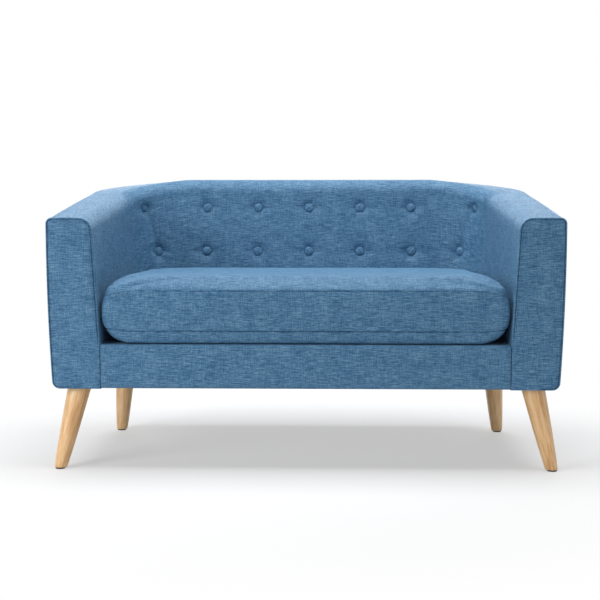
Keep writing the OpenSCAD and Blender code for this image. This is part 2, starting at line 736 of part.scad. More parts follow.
rail_inner_gap = pad_t + web_t + snug;
module corner_top_rail(right) {
    ps = [for (i = [0 : 8]) 1 + i / 8];
    edge = [for (p = ps) place(p, outer(p, rail_low[1], cover_t + cover_gap + snug), 0)];
    back = [for (p = ps) place(p, inner(p, arm_rail_top[1]) + rail_inner_gap, 0)];
    color(softwood) mirrored(right) translate([0, 0, rail_low[1]]) linear_extrude(top_rail_t)
        polygon(concat([for (v = edge) [v[0], v[1]]], [for (i = [len(ps) - 1 : -1 : 0]) [back[i][0], back[i][1]]]));
}
module corner_top_rail_left() { corner_top_rail(false); }
module corner_top_rail_right() { corner_top_rail(true); }
module back_top_rail() {
    y0 = inner(3, arm_rail_top[1]) + rail_inner_gap;
    y1 = outer(3, rail_low[1], cover_t + cover_gap);
    color(softwood) translate([-pivot_x, y0, rail_low[1]]) cube([2 * pivot_x, y1 - y0, top_rail_t]);
}
// Front face of the back posts, parallel to the back of the inside pad
function post_face(z) = inner(3, z) + pad_t + web_t + 2 * snug;
module back_post(x) {
    top = rail_low[1];
    across(x, post_w, [[post_face(pad_z), base_top], [post_face(pad_z) + post_t, base_top],
        [post_face(pad_z) + post_t, pad_z], [post_face(top) + post_t, top], [post_face(top), top],
        [post_face(pad_z), pad_z]]);
}
corner_post_x = pivot_x + inner_corner_r - arm_toe;
module corner_post(right) { color(softwood) mirrored(right) back_post(corner_post_x); }
module corner_post_left() { corner_post(false); }
module corner_post_right() { corner_post(true); }
module back_posts() { color(softwood) for (right = [false, true]) mirrored(right) back_post(pivot_x * half - post_w * half); }

module arm_lining(right) {
    color(lining) mirrored(right)
        skin([for (i = [0 : arm_steps]) let (p = i / arm_steps) [for (q = lining_section(p)) place(p, q[0], q[1])]]);
}
module arm_lining_left() { arm_lining(false); }
module arm_lining_right() { arm_lining(true); }

// Webbing straps across the back posts
web_shares = [0.12, 0.36, 0.6, 0.84];
module back_webbing() {
    w = corner_post_x + post_w;
    color(lining) for (share = web_shares) {
        z = lerp(pad_z, rail_low[1], share);
        across(-w, 2 * w, [[post_face(z) - snug - web_t, z], [post_face(z) - snug, z],
            [post_face(z + web_w) - snug, z + web_w], [post_face(z + web_w) - snug - web_t, z + web_w]]);
    }
}

// Sinuous springs from the front rail to the rear rail, held in clips
spring_z = deck_z - deck_t - snug - wire_d / 2;
spring_y0 = front_rail_back_y - rail_t * half;
spring_y1 = rear_rail_y + rail_t * half;
bend_pitch = (spring_y1 - spring_y0) / spring_bends;
spring_pitch = 2 * (side_rail_x - spring_w) / spring_n;
bend_steps = 4;
wire_sides = 6;
bar_half = (spring_w - bend_pitch) / 2;
// Middle line of a spring: half circles to either side, joined by straight bars
wire_path = concat(
    [[-bar_half, 0]],
    [for (i = [0 : spring_bends - 1], j = [0 : bend_steps])
        let (side = i % 2 == 0 ? 1 : -1, a = lerp(-90, 90, j / bend_steps))
        [side * (bar_half + bend_pitch / 2 * cos(a)), (i + half) * bend_pitch + bend_pitch / 2 * sin(a)]],
    [[-bar_half, spring_bends * bend_pitch]]);
function wire_dir(i) =
    let (last = len(wire_path) - 1, v = wire_path[min(i + 1, last)] - wire_path[max(i - 1, 0)])
    i == 0 || i == last ? [i == 0 ? 1 : -1, 0] : v / norm(v);
module spring() {
    skin([for (i = [0 : len(wire_path) - 1]) let (v = wire_path[i], t = wire_dir(i))
        [for (k = [0 : wire_sides - 1]) let (a = 360 * k / wire_sides, r = wire_d / 2)
            [v[0] + t[1] * r * cos(a), v[1] - t[0] * r * cos(a), r * sin(a)]]]);
}
module seat_springs() {
    color(steel) for (i = [0 : spring_n - 1])
        translate([(i - (spring_n - 1) / 2) * spring_pitch, spring_y0, spring_z]) spring();
}
clip_l = 16;
module spring_clips() {
    color(steel) for (i = [0 : spring_n - 1], y = [spring_y0, spring_y1])
        translate([(i - (spring_n - 1) / 2) * spring_pitch - clip_l / 2, y - clip_l / 2, rail_top])
            cube([clip_l, clip_l, clip_t]);
}

inside_back();
inside_arm_left();
inside_arm_right();
tufting_buttons();
outside_back();
outside_arm_left();
outside_arm_right();
arm_front_left();
arm_front_right();
front_border();
dust_cover();
cushion_cover();
cushion_foam();
cushion_zip();
zip_slider();
deck_pad();
seat_springs();
spring_clips();
front_rail();
rear_rail();
side_rail_left();
side_rail_right();
centre_brace();
base_board_left();
base_board_right();
base_board_rear();
corner_blocks();
arm_posts_left();
arm_posts_right();
corner_post_left();
corner_post_right();
back_posts();
arm_top_rail_left();
arm_top_rail_right();
corner_top_rail_left();
corner_top_rail_right();
back_top_rail();
arm_lining_left();
arm_lining_right();
back_webbing();
leg_front_left();
leg_front_right();
leg_rear_left();
leg_rear_right();
leg_plates();
hanger_bolts();
foot_glides();
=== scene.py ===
"""A two-seat tub settee in blue slub linen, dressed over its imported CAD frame.

The walls, arm fronts, border, buttons, cushion, deck and dust cover are drawn here and stand for
CAD solids, and so are the turned legs; the glides, springs, fixings and timber are the frame's
own. All lengths are metres unless a name ends in _mm.
"""
from __future__ import annotations

import json
import logging
import math
from collections.abc import Callable, Iterable, Sequence
from dataclasses import dataclass, field
from enum import Enum
from typing import ClassVar

import bmesh
import bpy
import numpy as np
from mathutils import Matrix, Vector, noise


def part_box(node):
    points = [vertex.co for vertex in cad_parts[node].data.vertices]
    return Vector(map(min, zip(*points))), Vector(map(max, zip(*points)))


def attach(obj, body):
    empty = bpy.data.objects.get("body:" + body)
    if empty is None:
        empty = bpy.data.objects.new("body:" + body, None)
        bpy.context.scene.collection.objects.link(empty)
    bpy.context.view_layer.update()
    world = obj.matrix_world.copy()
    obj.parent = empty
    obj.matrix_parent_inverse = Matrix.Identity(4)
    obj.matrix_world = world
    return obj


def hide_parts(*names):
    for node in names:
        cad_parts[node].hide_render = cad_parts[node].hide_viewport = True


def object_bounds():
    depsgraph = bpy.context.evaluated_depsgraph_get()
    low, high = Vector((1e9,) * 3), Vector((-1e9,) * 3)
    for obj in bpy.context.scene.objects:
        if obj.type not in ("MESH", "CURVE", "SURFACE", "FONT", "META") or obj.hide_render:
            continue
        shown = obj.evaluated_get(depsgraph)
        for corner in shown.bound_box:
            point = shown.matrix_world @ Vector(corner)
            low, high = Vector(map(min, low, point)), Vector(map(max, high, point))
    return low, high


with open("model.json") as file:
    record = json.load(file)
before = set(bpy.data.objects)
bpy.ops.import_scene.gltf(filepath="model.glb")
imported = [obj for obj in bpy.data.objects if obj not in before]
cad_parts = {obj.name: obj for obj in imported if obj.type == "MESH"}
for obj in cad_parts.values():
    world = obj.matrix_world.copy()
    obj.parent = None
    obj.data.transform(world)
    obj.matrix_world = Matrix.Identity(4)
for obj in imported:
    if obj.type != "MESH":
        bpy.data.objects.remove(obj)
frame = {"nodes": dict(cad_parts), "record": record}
CAD_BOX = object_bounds()

LOG = logging.getLogger("settee")
MM = 0.001
COVER_AT = "cover_at"
# Gap under which two points become one: for skins, and for threads and buttons.
WELD, FINE_WELD = 1e-5, 1e-7
# Least length that is divided by.
TINY = 1e-9
# Share of a thread's radius that is left at its ends.
TUBE_TAPER = 0.35
# Rows of a large array that are measured at once, to keep its memory small.
CHUNK = 4000

Row = list[Vector]
Pair = tuple[float, float]
Triple = tuple[float, float, float]
Piece = bpy.types.Object
Tree = bpy.types.NodeTree
Socket = bpy.types.NodeSocket
Vert = bmesh.types.BMVert


class Body(Enum):
    """The frame's moving bodies, by name."""

    SETTEE = "settee"
    CUSHION = "seat_cushion"
    SLIDER = "zip_slider"


def lerp(a: float, b: float, share: float) -> float:
    """Blend from a to b."""
    return a + (b - a) * share


def clamp(share: float) -> float:
    """Keep a share between 0 and 1."""
    return min(1.0, max(0.0, share))


def bell(distance: float, width: float) -> float:
    """A smooth bump of height 1, fallen to 37% at its width."""
    return math.exp(-((distance / width) ** 2))


def spaced(start: float, end: float, step: float) -> list[float]:
    """Split a span into equal steps."""
    count = max(1, math.ceil(abs(end - start) / step))
    return [lerp(start, end, i / count) for i in range(count + 1)]


@dataclass(frozen=True)
class TubShape:
    """The wall's own surfaces, as the frame's solids are drawn.

    Only the top line's rise is its own: it follows the photograph a few millimetres closer.

    A section of the wall has a place p along it: 0 to 1 up the arm, 1 to 2 round the rear
    corner and 2 to 3 across half the back. Distances are measured from the section's pivot
    line, for the right half of the settee.
    """

    half_w: float
    front_y: float
    rear_y: float
    body_z: float
    arm_h: float
    overall_h: float
    panel_t: float = 0.018
    arm_t: float = 0.108
    arm_toe: float = 0.024
    back_t: float = 0.120
    side_taper: float = 0.013
    corner_r: float = 0.210
    inner_corner_r: float = 0.150
    arm_lean: float = 0.022
    back_lean: float = 0.080
    side_draw: float = 0.011
    back_rake: float = 0.055
    inner_roll_r: float = 0.034
    outer_roll_r: float = 0.016
    roll_gain: float = 0.014
    hem_r: float = 0.018
    seam_drop: float = 0.024
    pad_z: float = 0.307
    rise_power: float = 1.25
    rise_end: float = 0.71
    rake_power: float = 1.3

    @classmethod
    def from_frame(cls) -> TubShape:
        """Read the wall's outer sizes from the frame's box and arm fronts.

        Returns:
            The wall's shape.
        """
        _, high = CAD_BOX
        panel_low, panel_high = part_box("arm_front_right")
        return cls(
            half_w=high[0], front_y=panel_low[1], rear_y=high[1], body_z=panel_low[2],
            arm_h=panel_high[2], overall_h=high[2],
        )

    @property
    def panel_back_y(self) -> float:
        """Rear face of the arm front panels."""
        return self.front_y + self.panel_t

    @property
    def pivot_x(self) -> float:
        """Sideways place of the corner sections' pivot."""
        return self.half_w - self.arm_t - self.arm_toe - self.inner_corner_r

    @property
    def pivot_y(self) -> float:
        """Fore-and-aft place of the corner sections' pivot."""
        return self.rear_y - self.back_t - self.inner_corner_r

    @property
    def arm_run(self) -> float:
        """Length of the arm along the wall."""
        return self.pivot_y - self.front_y

    @property
    def corner_run(self) -> float:
        """Length of the corner along the outside of the wall."""
        legs = self.half_w - self.side_taper - self.pivot_x + self.rear_y - self.pivot_y
        return legs - (2 - math.pi / 2) * self.corner_r

    def run(self, p: float) -> float:
        """Measure along the wall from its front.

        Args:
            p: Section along the wall.

        Returns:
            Length from the front to that section.
        """
        if p <= 1:
            return p * self.arm_run
        if p <= 2:
            return self.arm_run + (p - 1) * self.corner_run
        return self.arm_run + self.corner_run + (p - 2) * self.pivot_x

    def run_share(self, p: float) -> float:
        """Share of the half wall's length that section p lies at."""
        return self.run(p) / self.run(3)

    def top_z(self, p: float) -> float:
        """Height of the wall's top line at section p."""
        fall = clamp(1 - self.run_share(p) / self.rise_end) ** self.rise_power
        return self.overall_h - (self.overall_h - self.arm_h) * fall

    def seam_z(self, p: float) -> float:
        """Height of the seam between the lining and the outside cover."""
        return self.top_z(p) - self.seam_drop

    def roll_in(self, p: float) -> float:
        """Radius of the inside top edge at section p."""
        return self.inner_roll_r + self.roll_gain * self.run_share(p)

    def roll_out(self, p: float) -> float:
        """Radius of the outside top edge at section p."""
        return min(self.outer_roll_r + self.roll_gain / 2 * self.run_share(p), self.seam_drop)

    def face_top(self, p: float) -> float:
        """Height where the inside face turns into its rolled edge."""
        return self.top_z(p) - self.roll_in(p)

    def _ray_hit(self, angle: float, side: float, rear: float, radius: float) -> float:
        """Follow a ray from the corner pivot to a rounded corner.

        Args:
            angle: The ray's turn from sideways towards the rear, in radians.
            side: Sideways place of the corner's side.
            rear: Fore-and-aft place of the corner's rear.
            radius: The corner's radius.

        Returns:
            Length of the ray.
        """
        dx, dy = max(math.cos(angle), 1e-6), max(math.sin(angle), 1e-6)
        to_side, to_rear = (side - self.pivot_x) / dx, (rear - self.pivot_y) / dy
        if self.pivot_y + to_side * dy <= rear - radius:
            return to_side
        if self.pivot_x + to_rear * dx <= side - radius:
            return to_rear
        kx, ky = self.pivot_x - side + radius, self.pivot_y - rear + radius
        along = -(kx * dx + ky * dy)
        return along + math.sqrt(max(0.0, along**2 - kx**2 - ky**2 + radius**2))

    def _reach(self, p: float, fronts: Pair, rear: float, radius: float) -> float:
        """Place a plan outline of the wall.

        Args:
            p: Section along the wall.
            fronts: Half widths at the arm's front and rear.
            rear: Fore-and-aft place of the rear.
            radius: Radius of the corner.

        Returns:
            Distance from the section's pivot line.
        """
        if p < 1:
            over = lerp(self.panel_back_y, self.pivot_y, p) - (rear - radius)
            cut = radius - math.sqrt(radius**2 - over**2) if over > 0 else 0.0
            return lerp(fronts[0], fronts[1], p) - cut
        if p <= 2:
            return self._ray_hit((p - 1) * math.pi / 2, fronts[1], rear, radius)
        return rear

    def outer(self, p: float, z: float, inset: float = 0.0) -> float:
        """Distance of the outside face.

        Args:
            p: Section along the wall.
            z: Height.
            inset: Depth below the face.

        Returns:
            Distance from the section's pivot line.
        """
        draw_top, rake_top = self.arm_h - 3 * self.hem_r, self.overall_h - 2 * self.inner_roll_r
        draw = self.side_draw * clamp((draw_top - z) / (draw_top - self.body_z)) ** 2
        rake = self.back_rake * clamp((rake_top - z) / (rake_top - self.body_z)) ** self.rake_power
        up = self.body_z + self.hem_r - z
        hem = self.hem_r - math.sqrt(max(0.0, self.hem_r**2 - up**2)) if up > 0 else 0.0
        side_in, rear_in = draw + hem + inset, rake + hem + inset
        fronts = (self.half_w - side_in, self.half_w - self.side_taper - side_in)
        return self._reach(p, fronts, self.rear_y - rear_in, self.corner_r - inset)

    def inner(self, p: float, z: float, outset: float = 0.0) -> float:
        """Distance of the inside face before it is tufted.

        Args:
            p: Section along the wall.
            z: Height.
            outset: Depth into the padding.

        Returns:
            Distance from the section's pivot line.
        """
        lean_top = self.overall_h - self.inner_roll_r
        w = clamp((lean_top - z) / (lean_top - self.pad_z))
        side = self.half_w - self.arm_t - w * self.arm_lean + outset
        rear = self.rear_y - self.back_t - w * self.back_lean + outset
        radius = self.inner_corner_r - w * self.arm_lean + outset
        return self._reach(p, (side, side - self.arm_toe), rear, radius)

    def place(self, p: float, distance: float, z: float) -> Vector:
        """Turn a section's own distance and height into a point.

        Args:
            p: Section along the wall.
            distance: Distance from the section's pivot line.
            z: Height.

        Returns:
            The point.
        """
        if p < 1:
            return Vector((distance, lerp(self.panel_back_y, self.pivot_y, p), z))
        if p <= 2:
            angle = (p - 1) * math.pi / 2
            x = self.pivot_x + distance * math.cos(angle)
            return Vector((x, self.pivot_y + distance * math.sin(angle), z))
        return Vector((lerp(self.pivot_x, 0.0, p - 2), distance, z))

    def back_section(self, x: float) -> float:
        """Section of the back that lies at a sideways place."""
        return 3 - x / self.pivot_x


@dataclass(frozen=True)
class Tufting:
    """Places of the covered buttons and what they do to the padding round them."""

    shape: TubShape
    button_d: float = 0.025
    pitch: float = 0.147
    upper_z: float = 0.643
    lower_z: float = 0.518
    depth: float = 0.0034
    dimple: float = 0.026
    crease_depth: float = 0.003
    tug: float = 0.0072
    tug_width: float = 0.0150
    upper_corner: float = 1 + 36 / 90
    lower_corner: float = 1 + 50 / 90
    pull_folds: float = 0.0011
    fold_reach: float = 1.6
    fold_count: int = 6

    def places(self) -> list[Pair]:
        """Place each button of the right half, the middle ones included.

        Returns:
            Sections and heights, the upper row first.
        """
        along = [self.shape.back_section(i * self.pitch) for i in range(3)]
        upper = [(p, self.upper_z) for p in [*along, self.upper_corner]]
        return upper + [(p, self.lower_z) for p in [*along, self.lower_corner]]

    def points(self) -> list[Vector]:
        """Every button's point on the untufted face, both halves."""
        right = [self.shape.place(p, self.shape.inner(p, z), z) for p, z in self.places()]
        return right + [Vector((-v.x, v.y, v.z)) for v in right if v.x > self.button_d]

    def crease_section(self, z: float) -> float:
        """Follow the corner crease, which runs between the two corner buttons."""
        share = clamp((z - self.lower_z) / (self.upper_z - self.lower_z))
        return lerp(self.lower_corner, self.upper_corner, share)

    def depth_at(self, p: float, z: float, points: Sequence[Vector]) -> float:
        """Depth of the padding's dimples, crease and pulled folds.

        Args:
            p: Section along the wall.
            z: Height.
            points: The buttons' points, from points().

        Returns:
            Distance that the face lies behind the untufted one.
        """
        here = self.shape.place(p, self.shape.inner(p, z), z)
        nearest = min(points, key=lambda v: (v - here).length_squared)
        apart = here - nearest
        dimple = self.depth * bell(apart.length, self.dimple)
        dimple += self.tug * bell(apart.length, self.tug_width)
        arc = (p - self.crease_section(z)) * math.pi / 2 * self.shape.inner_corner_r
        crease = self.crease_depth * bell(arc, self.dimple / 2)
        spread = math.atan2(apart.z, math.hypot(apart.x, apart.y))
        near = bell(apart.length, self.dimple * self.fold_reach)
        near -= bell(apart.length, self.button_d / 2)
        folds = self.pull_folds * max(0.0, near) * math.cos(self.fold_count * spread)
        return dimple + crease + folds


class Loft:
    """A smooth skin over rows of points, with its cloth's own coordinates at each corner."""

    def __init__(self, name: str) -> None:
        """Start an empty skin.

        Args:
            name: The piece's name.
        """
        self.name = name
        self.mesh = bmesh.new()
        self.cover = self.mesh.loops.layers.float_vector.new(COVER_AT)

    def face(self, corners: Sequence[Vert], at: Sequence[Pair]) -> None:
        """Add one face.

        Args:
            corners: Its vertices, in order.
            at: The cloth's coordinates at each corner, in metres.
        """
        made = self.mesh.faces.new(corners)
        made.smooth = True
        for loop, (u, v) in zip(made.loops, at):
            loop[self.cover] = (u, v, 0.0)

    def rows(self, rows: Sequence[Row], runs: Sequence[float] | None = None) -> None:
        """Add quads between neighbouring rows.

        Args:
            rows: Rows with the same number of points.
            runs: The cloth's coordinate of each row; worked out from the points if None.
        """
        verts = [[self.mesh.verts.new(v) for v in row] for row in rows]
        runs = list(runs) if runs else running([row[len(row) // 2] for row in rows])
        heights = running(rows[len(rows) // 2])
        for j in range(len(rows) - 1):
            for i in range(len(rows[0]) - 1):
                quad = [(j, i), (j, i + 1), (j + 1, i + 1), (j + 1, i)]
                corners = [verts[a][b] for a, b in quad]
                self.face(corners, [(runs[a], heights[b]) for a, b in quad])

    def flat_face(self, corners: Sequence[Vert]) -> None:
        """Add one face of cloth that was laid flat, as seen from above."""
        self.face(corners, [(v.co.x, v.co.y) for v in corners])

    def bands(self, rings: Sequence[Sequence[Vert]]) -> None:
        """Join closed rings of vertices, each to the next, with flat cloth.

        Args:
            rings: Rings with the same number of vertices.
        """
        for a, b in zip(rings, rings[1:]):
            for i in range(len(a)):
                j = (i + 1) % len(a)
                self.flat_face([a[i], a[j], b[j], b[i]])

    def done(self, weld: float = WELD) -> Piece:
        """Weld the skin and link it to the scene.

        Args:
            weld: Distance under which points become one.

        Returns:
            The new object, at the origin.
        """
        bmesh.ops.remove_doubles(self.mesh, verts=self.mesh.verts[:], dist=weld)
        bmesh.ops.recalc_face_normals(self.mesh, faces=self.mesh.faces[:])
        data = bpy.data.meshes.new(self.name)
        self.mesh.to_mesh(data)
        self.mesh.free()
        made = bpy.data.objects.new(self.name, data)
        bpy.context.scene.collection.objects.link(made)
        return made


def running(points: Sequence[Vector]) -> list[float]:
    """Measure along a line of points.

    Args:
        points: The line.

    Returns:
        Length from the start, at each point.
    """
    total, out = 0.0, [0.0]
    for a, b in zip(points, points[1:]):
        total += (b - a).length
        out.append(total)
    return out


def point_at(line: Sequence[Vector], at: Sequence[float], run: float) -> Vector:
    """Find the point at a length along a line whose points have the lengths in at."""
    i = min(len(line) - 2, max(0, int(np.searchsorted(at, run)) - 1))
    return line[i].lerp(line[i + 1], (run - at[i]) / max(at[i + 1] - at[i], TINY))


def both_halves(section: Callable[[float], Row], places: Sequence[float]) -> list[Row]:
    """Rows of the whole wall from those of its right half.

    Args:
        section: Makes the row of a section.
        places: Sections from the right arm's front to the middle of the back.

    Returns:
        Rows from the right arm's front round to the left arm's.
    """
    right = [section(p) for p in places]
    left = [[Vector((-v.x, v.y, v.z)) for v in row] for row in reversed(right[:-1])]
    return right + left


def arc(centre: Pair, radius: float, start: float, end: float, count: int) -> list[Pair]:
    """Points along part of a circle, both ends included, with its angles in degrees."""
    turns = [math.radians(lerp(start, end, i / count)) for i in range(count + 1)]
    return [(centre[0] + radius * math.cos(a), centre[1] + radius * math.sin(a)) for a in turns]


def tube(loft: Loft, path: Sequence[Vector], radius: float, sides: int) -> None:
    """Add a round thread along a path.

    Args:
        loft: Skin that the thread is added to.
        path: Its middle line.
        radius: Its radius, tapered at both ends.
        sides: Number of sides.
    """
    rings: list[Row] = []
    for i, point in enumerate(path):
        ahead = (path[min(i + 1, len(path) - 1)] - path[max(i - 1, 0)]).normalized()
        side = ahead.orthogonal().normalized()
        up = ahead.cross(side)
        r = radius * (TUBE_TAPER if i in (0, len(path) - 1) else 1.0)
        turns = [math.tau * k / sides for k in range(sides + 1)]
        rings.append([point + side * (r * math.cos(a)) + up * (r * math.sin(a)) for a in turns])
    loft.rows(rings)


@dataclass(frozen=True)
class Stitching:
    """A row of topstitching in a thick thread, each stitch sunk at its ends."""

    length: float = 0.0042
    gap: float = 0.0012
    thread: float = 0.00045
    lifts: tuple[float, ...] = (-0.6, 0.5, 0.8, 0.5, -0.6)

    def sew(self, loft: Loft, line: Sequence[Vector], outward: Callable[[Vector], Vector]) -> None:
        """Add stitches along a line.

        Args:
            loft: Skin that holds the threads.
            line: The seam's line, on the cloth.
            outward: The cloth's outward direction at a point.
        """
        at = running(line)
        start = self.gap
        while start + self.length < at[-1]:
            ends = [point_at(line, at, start + self.length * k / 4) for k in range(5)]
            path = [v + outward(v) * (lift * self.thread) for v, lift in zip(ends, self.lifts)]
            tube(loft, path, self.thread, 5)
            start += self.length + self.gap


HEAVY_STITCHING = Stitching(length=0.006, gap=0.002)


def hex_colour(code: str) -> tuple[float, float, float, float]:
    """Turn an sRGB hex colour to linear.

    Args:
        code: Six hex digits after a hash.

    Returns:
        Linear red, green and blue, and full opacity.
    """
    parts = [int(code[i : i + 2], 16) / 255 for i in (1, 3, 5)]
    linear = [c / 12.92 if c <= 0.04045 else ((c + 0.055) / 1.055) ** 2.4 for c in parts]
    return (linear[0], linear[1], linear[2], 1.0)


def add_node(
    tree: Tree,
    kind: str,
    inputs: dict[str | int, object] | None = None,
    settings: dict[str, object] | None = None,
    stops: Sequence[tuple[float, str]] = (),
) -> bpy.types.Node:
    """Add a shader node with its settings and links.

    Args:
        tree: The material's or world's node tree.
        kind: Node type, without its ShaderNode prefix.
        inputs: Socket name or number to a value, or to what feeds it: a socket, or a node, which
            then gives its first output.
        settings: Properties of the node itself.
        stops: Place and hex colour of each stop of the node's colour ramp, in order.

    Returns:
        The new node.
    """
    made = tree.nodes.new(f"ShaderNode{kind}")
    for name, value in (settings or {}).items():
        setattr(made, name, value)
    for name, value in (inputs or {}).items():
        if isinstance(value, (Socket, bpy.types.Node)):
            source = value.outputs[0] if isinstance(value, bpy.types.Node) else value
            tree.links.new(source, made.inputs[name])
        else:
            made.inputs[name].default_value = value
    if stops:
        bar = made.color_ramp
        while len(bar.elements) < len(stops):
            bar.elements.new(0.5)
        for element, (place, code) in zip(bar.elements, stops):
            element.position, element.color = place, hex_colour(code)
    return made


@dataclass(frozen=True)
class Streak:
    """One layer of a pattern: how long its streaks are along each axis, and how strong."""

    size_mm: Triple
    weight: float
    seed: float
    detail: float = 2.0
    roughness: float = 0.55

    def draw(self, tree: Tree, at: Socket) -> Socket:
        """Draw the layer as noise stretched to its real size.

        Args:
            tree: The material's node tree.
            at: Coordinates in metres.

        Returns:
            The noise's 0 to 1 socket.
        """
        scale = tuple(1 / (size * MM) for size in self.size_mm)
        seed = (self.seed,) * 3
        place = add_node(tree, "Mapping", {"Vector": at, "Location": seed, "Scale": scale})
        return add_node(tree, "TexNoise", {
            "Vector": place, "Scale": 1.0, "Detail": self.detail, "Roughness": self.roughness,
        }).outputs["Fac"]


def layered(tree: Tree, at: Socket, layers: Sequence[Streak]) -> bpy.types.Node:
    """Add layers of streaks up.

    Args:
        tree: The material's node tree.
        at: Coordinates in metres.
        layers: The layers.

    Returns:
        Their weighted sum, with one half where every layer is even.
    """
    share: object = 0.5 - sum(layer.weight for layer in layers) / 2
    for layer in layers:
        inputs = {0: layer.draw(tree, at), 1: layer.weight, 2: share}
        share = add_node(tree, "Math", inputs, {"operation": "MULTIPLY_ADD"})
    return share


class Finish:
    """A named finish that builds its material once."""

    label: str
    built: ClassVar[dict[str, bpy.types.Material]] = {}

    def material(self) -> bpy.types.Material:
        """Build the material, or hand back the one already built.

        Returns:
            The material, under the finish's label.
        """
        if self.label not in Finish.built:
            base = bpy.data.materials.new(self.label)
            base.use_nodes = True
            base.node_tree.nodes.clear()
            shader = self.surface(base.node_tree)
            add_node(base.node_tree, "OutputMaterial", {"Surface": shader})
            Finish.built[self.label] = base
        return Finish.built[self.label]

    def surface(self, tree: Tree) -> bpy.types.Node:
        """Add the finish's nodes and give its shader; each finish has its own."""
        raise NotImplementedError


@dataclass(frozen=True)
class SlubLinen(Finish):
    """Linen-look upholstery cloth: a plain weave with thick and thin yarns.

    The slubs read as short light and dark dashes, mostly along the cloth and more faintly
    across it, and loose fibres on the yarns brighten it where it turns away.
    """

    label: str = "blue_slub_linen"
    dark: str = "#264b6b"
    middle: str = "#467295"
    light: str = "#7297b0"
    thread_mm: float = 1.1
    layers: tuple[Streak, ...] = (
        Streak((30.0, 1.5, 30.0), 1.75, 3.1), Streak((1.7, 34.0, 34.0), 0.8, 7.8),
        Streak((8.0, 1.3, 8.0), 1.0, 12.5, 1.0), Streak((1.2, 7.0, 7.0), 0.65, 17.2, 1.0),
        Streak((60.0, 34.0, 60.0), 0.4, 21.9),
    )
    weave_share: float = 0.35
    bump: float = 0.35

    def surface(self, tree: Tree) -> bpy.types.Node:
        """Weave the slubs, their colours and their relief.

        Args:
            tree: The material's node tree.

        Returns:
            The cloth's shader.
        """
        at = add_node(tree, "Attribute", settings={"attribute_name": COVER_AT}).outputs["Vector"]
        share = layered(tree, at, self.layers)
        colour = add_node(
            tree, "ValToRGB", {"Fac": share},
            stops=((0.0, self.dark), (0.5, self.middle), (1.0, self.light)),
        )
        relief = add_node(
            tree, "Math", {0: self._weave(tree, at), 1: self.weave_share, 2: share},
            {"operation": "MULTIPLY_ADD"},
        )
        bump = add_node(tree, "Bump", {"Strength": self.bump, "Distance": 0.0010, "Height": relief})
        return add_node(tree, "BsdfPrincipled", {
            "Base Color": colour, "Roughness": 0.52, "IOR": 1.45, "Specular IOR Level": 0.22,
            "Sheen Weight": 0.05, "Sheen Roughness": 0.40, "Sheen Tint": hex_colour("#dfe6ea"),
            "Normal": bump,
        })

    def _weave(self, tree: Tree, at: Socket) -> bpy.types.Node:
        """Cross the yarns at the real thread spacing, which shows close up only.

        Args:
            tree: The material's node tree.
            at: The cloth's coordinates in metres.

        Returns:
            The crossings' height, from -1 to 1.
        """
        turn = math.pi / (self.thread_mm * MM)
        place = add_node(tree, "Mapping", {"Vector": at, "Scale": (turn, turn, turn)})
        axes = add_node(tree, "SeparateXYZ", {"Vector": place})
        over = add_node(tree, "Math", {0: axes.outputs["X"]}, {"operation": "SINE"})
        under = add_node(tree, "Math", {0: axes.outputs["Y"]}, {"operation": "SINE"})
        return add_node(tree, "Math", {0: over, 1: under}, {"operation": "MULTIPLY"})


@dataclass(frozen=True)
class OiledBeech(Finish):
    """Turned beech under a thin satin oil coat: pale, with fine straight grain and flecks."""

    label: str = "turned_beech"
    dark: str = "#c48f58"
    middle: str = "#e1b580"
    light: str = "#f0d0a4"
    grain: tuple[Streak, ...] = (
        Streak((3.2, 3.2, 140.0), 1.71, 1.3, 4.0), Streak((16.0, 16.0, 224.0), 1.71, 5.1),
    )
    fleck: Streak = Streak((0.9, 0.9, 7.0), -0.22, 9.4, 1.0)
    fleck_from: float = 0.68

    def surface(self, tree: Tree) -> bpy.types.Node:
        """Draw the grain along the leg, its flecks and the coat.

        Args:
            tree: The material's node tree.

        Returns:
            The wood's shader.
        """
        at = add_node(tree, "Attribute", settings={"attribute_name": COVER_AT}).outputs["Vector"]
        fleck = {0: self.fleck.draw(tree, at), 1: self.fleck_from}
        flecked = add_node(tree, "Math", fleck, {"operation": "GREATER_THAN"})
        inputs = {0: flecked, 1: self.fleck.weight, 2: layered(tree, at, self.grain)}
        darker = add_node(tree, "Math", inputs, {"operation": "MULTIPLY_ADD"})
        colour = add_node(
            tree, "ValToRGB", {"Fac": darker},
            stops=((0.0, self.dark), (0.5, self.middle), (1.0, self.light)),
        )
        bump = add_node(tree, "Bump", {"Strength": 0.08, "Distance": 0.0004, "Height": darker})
        return add_node(tree, "BsdfPrincipled", {
            "Base Color": colour, "Roughness": 0.42, "IOR": 1.5, "Coat Weight": 0.25,
            "Coat Roughness": 0.3, "Normal": bump,
        })


